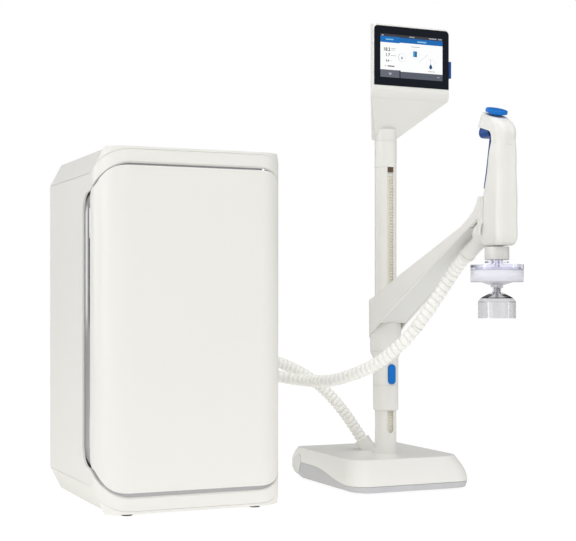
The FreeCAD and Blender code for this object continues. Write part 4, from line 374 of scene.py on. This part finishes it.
# ---- hoses ---------------------------------------------------------------------------
HOSE_R = 0.0095
HOSE_VALLEY_R = 0.0070
BULGE_POWER = 2.1
GUN_HOSE_PITCH = 0.0094
BASE_HOSE_PITCH = 0.0074
HOSE_SIDES = 32
RING_STEPS = 12
ROUTE_STEPS = 24

GUN_HOSE_ROUTE = ((277, 229, 182), (301, 229, 182), (323, 226, 177), (342, 217, 172),
                  (358, 203, 168), (371, 185, 166), (380, 165, 165), (392, 114, 167),
                  (409, 72, 179), (424, 33, 194), (438, 2, 215), (455, -20, 240),
                  (468, -37, 266), (483, -48, 294), (496, -62, 322), (500, -80.706, 342.928),
                  (500, -102, 354))
BASE_HOSE_ROUTE = ((277, 262, 203), (301, 262, 203), (335, 260, 199), (368, 255, 190),
                   (398, 246, 176), (424, 234, 157), (446, 221, 133), (463, 210, 108),
                   (475.7, 203.9, 87.5), (486.9, 197.8, 67.2))
GUN_SPLIT = at(461.5, -28.5, 253)


def smooth_line(name, route):
    """Points along the smooth curve that the route's points control."""
    data = bpy.data.curves.new(name, "CURVE")
    data.dimensions = "3D"
    data.resolution_u = ROUTE_STEPS
    spline = data.splines.new("NURBS")
    spline.points.add(len(route) - 1)
    for point, place in zip(spline.points, route):
        point.co = (*at(*place), 1.0)
    spline.order_u = 3
    spline.use_endpoint_u = True
    read = read_curve(name, data)
    points = [v.co.copy() for v in read.vertices]
    bpy.data.meshes.remove(read)
    return points


def evenly(points, step):
    """The same line with its points an equal distance apart."""
    total = sum((b - a).length for a, b in zip(points, points[1:]))
    count = max(2, round(total / step))
    gap = total / count
    placed = [points[0].copy()]
    walked = 0.0
    for a, b in zip(points, points[1:]):
        run = (b - a).length
        while len(placed) < count and walked + run >= gap * len(placed):
            placed.append(a.lerp(b, (gap * len(placed) - walked) / run))
        walked += run
    placed.append(points[-1].copy())
    return placed


def frames_along(points):
    """The line's direction and a side vector at each point, without a twist about the line."""
    frames = []
    side = None
    for i in range(len(points)):
        ahead = points[min(i + 1, len(points) - 1)]
        behind = points[max(i - 1, 0)]
        along = (ahead - behind).normalized()
        if side is None:
            side = along.orthogonal().normalized()
        side = (side - along * side.dot(along)).normalized()
        frames.append((along, side.copy()))
    return frames


def rib_radius(share):
    """The wall's radius at a share of one rib's pitch: a round bulge, then a tight groove."""
    off = 2 * abs(share % 1.0 - 0.5)
    bulge = math.sqrt(max(0.0, 1 - off ** BULGE_POWER))
    return HOSE_VALLEY_R + (HOSE_R - HOSE_VALLEY_R) * bulge


def ribbed_hose(name, points, pitch):
    """A corrugated hose along the points, and the line it follows."""
    rings = evenly(points, pitch / RING_STEPS)
    verts = []
    for i, (point, (along, side)) in enumerate(zip(rings, frames_along(rings))):
        across = along.cross(side)
        radius = rib_radius(i / RING_STEPS)
        for k in range(HOSE_SIDES):
            turn = 2 * math.pi * k / HOSE_SIDES
            verts.append(point + (side * math.cos(turn) + across * math.sin(turn)) * radius)
    faces = []
    for i in range(len(rings) - 1):
        for k in range(HOSE_SIDES):
            a = i * HOSE_SIDES + k
            b = i * HOSE_SIDES + (k + 1) % HOSE_SIDES
            faces.append((a, b, b + HOSE_SIDES, a + HOSE_SIDES))
    faces.append(tuple(range(HOSE_SIDES - 1, -1, -1)))
    last = (len(rings) - 1) * HOSE_SIDES
    faces.append(tuple(range(last, last + HOSE_SIDES)))
    piece = mesh_piece(name, verts, faces, [FINISHES["hose_plastic"]])
    return piece, rings


def declare_hose(node):
    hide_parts(node)


def lay_hoses():
    gun_line = smooth_line("gun_hose_line", GUN_HOSE_ROUTE)
    nearest = min(range(len(gun_line)), key=lambda i: (gun_line[i] - GUN_SPLIT).length)
    lower, lower_path = ribbed_hose("gun_hose_to_arm", gun_line[:nearest + 1], GUN_HOSE_PITCH)
    upper, upper_path = ribbed_hose("gun_hose_to_gun", gun_line[nearest:], GUN_HOSE_PITCH)
    base, base_path = ribbed_hose("hose_to_base", smooth_line("base_hose_line", BASE_HOSE_ROUTE),
                                  BASE_HOSE_PITCH)
    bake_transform(lower)
    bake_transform(upper)
    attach(base, "stand")
    declare_hose("gun_hose_lower")
    declare_hose("gun_hose_upper")
    declare_hose("base_hose")


# ---- picture on the screen -----------------------------------------------------------
# Places on the picture are shares of its width and height from its upper left corner.
# Each layer lies a little in front of the one before it.
GLASS_FRONT_Y = 97.6
PICTURE_LEFT, PICTURE_TOP = 468.0, 700.7
PICTURE_WIDE, PICTURE_HIGH = 109.6, 66.6
FIRST_LIFT = 0.03
LIFT_STEP = 0.03
RING_STEP_DEG = 10
DIGIT_SHARE = 0.7
DIGIT_WEIGHT = 0.025

DISPLAY_COLOURS = {
    "white": (0.97, 0.975, 0.98), "status": (0.042, 0.042, 0.046), "header": (0.002, 0.13, 0.43),
    "header_tab": (0.004, 0.15, 0.48), "footer": (0.095, 0.105, 0.135),
    "footer_tab": (0.125, 0.135, 0.165), "gap": (0.03, 0.033, 0.045), "ink": (0.012, 0.012, 0.018),
    "pale_ink": (0.42, 0.44, 0.47), "ring": (0.66, 0.68, 0.70), "tank": (0.01, 0.16, 0.40),
    "tank_light": (0.12, 0.38, 0.64), "flask": (0.006, 0.07, 0.17), "sky": (0.25, 0.55, 0.80),
}

# Bars: colour, left, top, right, bottom, layer.
PAGE_BARS = (
    ("white", 0, 0.17, 1, 0.87, 0), ("status", 0, 0, 1, 0.065, 1),
    ("header", 0.305, 0.055, 1, 0.180, 1), ("header_tab", 0, 0.055, 0.305, 0.197, 2),
    ("footer", 0.318, 0.848, 1, 1, 1), ("footer_tab", 0, 0.825, 0.305, 1, 1),
    ("gap", 0.300, 0.822, 0.320, 1, 2))
STATUS_MARKS = (
    ("pale_ink", 0.46, 0.020, 0.545, 0.040, 2), ("pale_ink", 0.777, 0.016, 0.90, 0.038, 2),
    ("pale_ink", 0.93, 0.016, 0.985, 0.038, 2), ("pale_ink", 0.02, 0.020, 0.05, 0.045, 2))
HEADER_MARKS = (("sky", 0.085, 0.110, 0.205, 0.135, 3), ("sky", 0.590, 0.112, 0.735, 0.142, 2))
UNIT_MARKS = (
    ("pale_ink", 0.172, 0.325, 0.245, 0.338, 2), ("pale_ink", 0.172, 0.362, 0.225, 0.375, 2),
    ("pale_ink", 0.160, 0.487, 0.250, 0.500, 2), ("pale_ink", 0.165, 0.610, 0.185, 0.622, 2))
MENU_MARK = ("ink", 0.115, 0.728, 0.222, 0.752, 2)
SIGN_CAPTIONS = (
    ("pale_ink", 0.487, 0.245, 0.630, 0.262, 2), ("pale_ink", 0.765, 0.790, 0.880, 0.806, 2))
FOOTER_MARK = ("pale_ink", 0.915, 0.910, 0.950, 0.930, 2)

# Readings: figures, left, bottom, and the height of a digit in millimetres.
READINGS = (("18.2", 0.045, 0.390, 5.0), ("1.7", 0.078, 0.515, 4.6), ("0.4", 0.085, 0.640, 3.4))

MENU_ARROW = ((0.078, 0.755), (0.094, 0.740), (0.078, 0.725))
SIGN_LINK = ((0.606, 0.600), (0.612, 0.606), (0.765, 0.408), (0.759, 0.402))
FOOTER_ARROW = ((0.155, 0.955), (0.185, 0.895), (0.125, 0.895))

DROP_AT = (0.343, 0.520)
TANK_AT = (0.554, 0.420)
FLASK_AT = (0.807, 0.630)
SIGN_RING = dict(radius=8.2, width=0.35)


class Picture:
    """Flat marks on the glass, gathered by colour into one mesh."""

    def __init__(self):
        self.points, self.faces, self.slots = [], [], []
        self.names = list(DISPLAY_COLOURS)

    def spot(self, u, v, layer):
        lift = FIRST_LIFT + LIFT_STEP * layer
        return at(PICTURE_LEFT + u * PICTURE_WIDE, GLASS_FRONT_Y - lift,
                  PICTURE_TOP - v * PICTURE_HIGH)

    def shape(self, colour, corners, layer):
        first = len(self.points)
        self.points += [self.spot(u, v, layer) for u, v in corners]
        self.faces.append(tuple(range(first, len(self.points))))
        self.slots.append(self.names.index(colour))

    def bar(self, colour, left, top, right, bottom, layer):
        self.shape(colour, [(left, bottom), (right, bottom), (right, top), (left, top)], layer)

    def ring(self, colour, u, v, radius, width, layer=1, start=0.0, sweep=360.0):
        """A band of a circle; radius and width in millimetres, start and sweep in degrees."""
        steps = round(sweep / RING_STEP_DEG)
        arms = [math.radians(start + sweep * i / steps) for i in range(steps + 1)]

        def rim(turn, reach):
            return (u + reach * math.cos(turn) / PICTURE_WIDE,
                    v - reach * math.sin(turn) / PICTURE_HIGH)

        for a, b in zip(arms, arms[1:]):
            self.shape(colour, [rim(a, radius - width), rim(a, radius), rim(b, radius),
                                rim(b, radius - width)], layer)

    def disc(self, colour, u, v, radius, layer):
        self.ring(colour, u, v, radius, radius, layer)

    def figures(self, colour, words, u, v, height, layer):
        """Plain numbers; the height of a digit in millimetres, u and v its lower left."""
        data = bpy.data.curves.new("figures", "FONT")
        data.body = words
        data.size = height / DIGIT_SHARE
        data.resolution_u = 3
        data.offset = DIGIT_WEIGHT * data.size
        read = read_curve("figures", data)
        first = len(self.points)
        self.points += [self.spot(u + p.co.x / PICTURE_WIDE, v - p.co.y / PICTURE_HIGH, layer)
                        for p in read.vertices]
        for polygon in read.polygons:
            self.faces.append(tuple(first + i for i in polygon.vertices))
            self.slots.append(self.names.index(colour))
        bpy.data.meshes.remove(read)


def draw_drop(show, u, v):
    """Small sign beside the readings: a drop in a ring with a darker stretch."""
    show.ring("ring", u, v, radius=6.3, width=0.45)
    show.ring("pale_ink", u, v, radius=6.4, width=0.7, layer=2, start=120, sweep=110)
    show.disc("flask", u, v + 0.015, radius=1.3, layer=2)
    show.shape("flask", [(u - 0.011, v + 0.012), (u + 0.011, v + 0.012), (u, v - 0.030)], 2)


def draw_tank(show, u, v):
    show.ring("ring", u, v, **SIGN_RING)
    show.bar("tank", u - 0.029, v - 0.070, u + 0.031, v + 0.065, 2)
    show.bar("tank_light", u - 0.035, v - 0.058, u - 0.011, v + 0.055, 3)


def draw_flask(show, u, v):
    show.ring("ring", u, v, **SIGN_RING)
    show.bar("pale_ink", u - 0.004, v - 0.130, u + 0.002, v + 0.005, 2)
    show.shape("flask", [(u - 0.029, v + 0.075), (u + 0.029, v + 0.075), (u + 0.008, v),
                         (u - 0.008, v)], 3)
    show.disc("flask", u, v + 0.070, radius=2.6, layer=3)


def light_screen():
    show = Picture()
    for mark in PAGE_BARS + STATUS_MARKS + HEADER_MARKS:
        show.bar(*mark)
    for words, left, bottom, height in READINGS:
        show.figures("ink", words, left, bottom, height, 2)
    for mark in UNIT_MARKS:
        show.bar(*mark)
    show.bar(*MENU_MARK)
    show.shape("ink", MENU_ARROW, 2)
    for mark in SIGN_CAPTIONS:
        show.bar(*mark)
    draw_drop(show, *DROP_AT)
    draw_tank(show, *TANK_AT)
    draw_flask(show, *FLASK_AT)
    show.shape("ring", SIGN_LINK, 1)
    show.shape("pale_ink", FOOTER_ARROW, 2)
    show.bar(*FOOTER_MARK)
    colours = [glowing("display_" + name, colour) for name, colour in DISPLAY_COLOURS.items()]
    piece = mesh_piece("display_picture", show.points, show.faces, colours, smooth=False,
                       face_slots=show.slots)
    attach(piece, "head")


# ---- filter band ---------------------------------------------------------------------
FILTER_AXIS = (500.0, -180.0)
BAND_R = 35.4
BAND_T = 0.25
BAND_LAP = 0.1
BAND_EDGE = 0.2
BAND_LOW, BAND_HIGH = 316.0, 331.0
BAND_SIDES = 96


def wrap_filter():
    """Bare printed band round the filter's body, let into its wall by the lap."""
    outer, inner = BAND_R + BAND_T, BAND_R - BAND_LAP
    rows = ((BAND_R, BAND_LOW), (outer, BAND_LOW + BAND_EDGE), (outer, BAND_HIGH - BAND_EDGE),
            (BAND_R, BAND_HIGH), (inner, BAND_HIGH), (inner, BAND_LOW))
    points = []
    for radius, z in rows:
        for i in range(BAND_SIDES):
            turn = 2 * math.pi * i / BAND_SIDES
            points.append(at(FILTER_AXIS[0] + radius * math.cos(turn),
                             FILTER_AXIS[1] + radius * math.sin(turn), z))
    faces = []
    for row in range(len(rows)):
        below, above = row * BAND_SIDES, (row + 1) % len(rows) * BAND_SIDES
        for i in range(BAND_SIDES):
            j = (i + 1) % BAND_SIDES
            faces.append((below + i, below + j, above + j, above + i))
    film = moulded("filter_film", (0.80, 0.795, 0.875), 0.35, vary=0.03)
    piece = mesh_piece("filter_band", points, faces, [film])
    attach(piece, "filter")


# ---- room ----------------------------------------------------------------------------
# The room is white to the camera. To bright metal it is a plain front with two lit strips,
# and a rear whose left side is bright. Through clear plastic it darkens to the right.
SOFT_LOW, SOFT_RISE = 0.34, 0.52
FRONT_GLOW = 0.62
REAR_EDGES, REAR_GLOWS = (-0.66, -0.28), (3.4, 0.06)
STRIP_GLOW = 6.0
STRIPS = ((-0.885, 0.045), (0.905, 0.02))
CLEAR_EDGES, CLEAR_GLOWS = (0.5, 0.85), (1.0, 0.12)

FLOOR_HALF = 14.0
FLOOR_Z = -0.0002
FLOOR_COLOUR = (0.9, 0.9, 0.88)
SEEN_GLOW, SEEN_SHARE = 1.12, 0.8
POOL_COLOUR, POOL_GLOW = (1.0, 0.985, 0.955), 2.1
POOL_SHARE, POOL_FADE = 0.24, 1.1

# Lamps: place, aim, width, height, power.
LAMPS = {
    "key": ((-0.6, -2.6, 2.3), (0.05, 0, 0.25), 2.4, 1.6, 21.5),
    "fill": ((-2.7, -1.0, 0.7), (0, 0, 0.2), 1.8, 1.2, 10),
    "right": ((2.4, -1.7, 1.2), (0.2, 0, 0.35), 1.6, 1.6, 2),
    "top": ((0.1, -0.3, 2.8), (0, 0, 0.2), 2.4, 2.4, 21),
}


def background(maker, strength):
    return maker.node("Background", {}, {"Color": rgba((1, 1, 1)), "Strength": strength})


def glow(maker, colour, strength):
    return maker.node("Emission", {}, {"Color": rgba(colour), "Strength": strength})


def set_world():
    world = bpy.data.worlds.new("studio")
    bpy.context.scene.world = world
    world.use_nodes = True
    world.node_tree.nodes.clear()
    maker = Wire(world.node_tree)
    rays = maker.node("LightPath")
    x = maker.node("SeparateXYZ", {}, {0: maker.node("TexCoord", out="Generated")})
    y = x.also("Y")
    height = x.also("Z").clamped(0.0, 1.0)
    sine, cosine = math.sin(CAMERA_YAW), math.cos(CAMERA_YAW)
    aside = x * cosine - y * sine
    front = (x * -sine - y * cosine).above(0.0)
    mirrored = front * FRONT_GLOW + (1.0 - front) * x.ramped(*REAR_EDGES, *REAR_GLOWS)
    for middle, reach in STRIPS:
        mirrored = mirrored + aside.within(reach, middle) * front * STRIP_GLOW
    soft = background(maker, SOFT_LOW + height * SOFT_RISE)
    lit = mixed(maker, rays.also("Is Glossy Ray"), soft, background(maker, mirrored))
    bent = background(maker, aside.ramped(*CLEAR_EDGES, *CLEAR_GLOWS))
    lens = mixed(maker, rays.also("Is Transmission Ray"), lit, bent)
    seen = mixed(maker, rays.also("Is Camera Ray"), lens, background(maker, 1.0))
    close_tree(maker, seen, "OutputWorld")


def set_floor():
    """White to the camera apart from the shadows; a pool of warm light round the part else."""
    material, maker = new_material("studio_floor")
    rays = maker.node("LightPath")
    shown = (rays.also("Is Camera Ray") + rays.also("Is Transmission Ray")).clamped(0.0, 1.0)
    away = maker.node("VectorMath", {"operation": "LENGTH"}, {0: object_place(maker)}, out="Value")
    near = (1.0 - away * POOL_FADE).clamped(0.0, 1.0)
    ground = maker.node("BsdfPrincipled", {}, {"Base Color": rgba(FLOOR_COLOUR), "Roughness": 0.7})
    bounced = mixed(maker, near * POOL_SHARE, ground, glow(maker, POOL_COLOUR, POOL_GLOW))
    clean = mixed(maker, SEEN_SHARE, ground, glow(maker, (1, 1, 1), SEEN_GLOW))
    close_tree(maker, mixed(maker, shown, bounced, clean))
    corners = [(x * FLOOR_HALF, y * FLOOR_HALF, FLOOR_Z)
               for x, y in ((-1, -1), (1, -1), (1, 1), (-1, 1))]
    mesh_piece("floor", corners, [(0, 1, 2, 3)], [material], smooth=False)


def add_lamp(name, place, aim, width, height, power):
    data = bpy.data.lights.new(name, "AREA")
    data.shape = "RECTANGLE"
    data.size = width
    data.size_y = height
    data.energy = power
    lamp = bpy.data.objects.new(name, data)
    lamp.location = place
    lamp.rotation_euler = (Vector(aim) - Vector(place)).to_track_quat("-Z", "Y").to_euler()
    bpy.context.collection.objects.link(lamp)


def set_light():
    set_world()
    set_floor()
    for name, row in LAMPS.items():
        add_lamp(name, *row)
    bpy.context.scene.view_settings.view_transform = "Standard"


# ---- make everything -----------------------------------------------------------------
set_camera()
lay_hoses()
finish_nodes()
light_screen()
wrap_filter()
set_light()
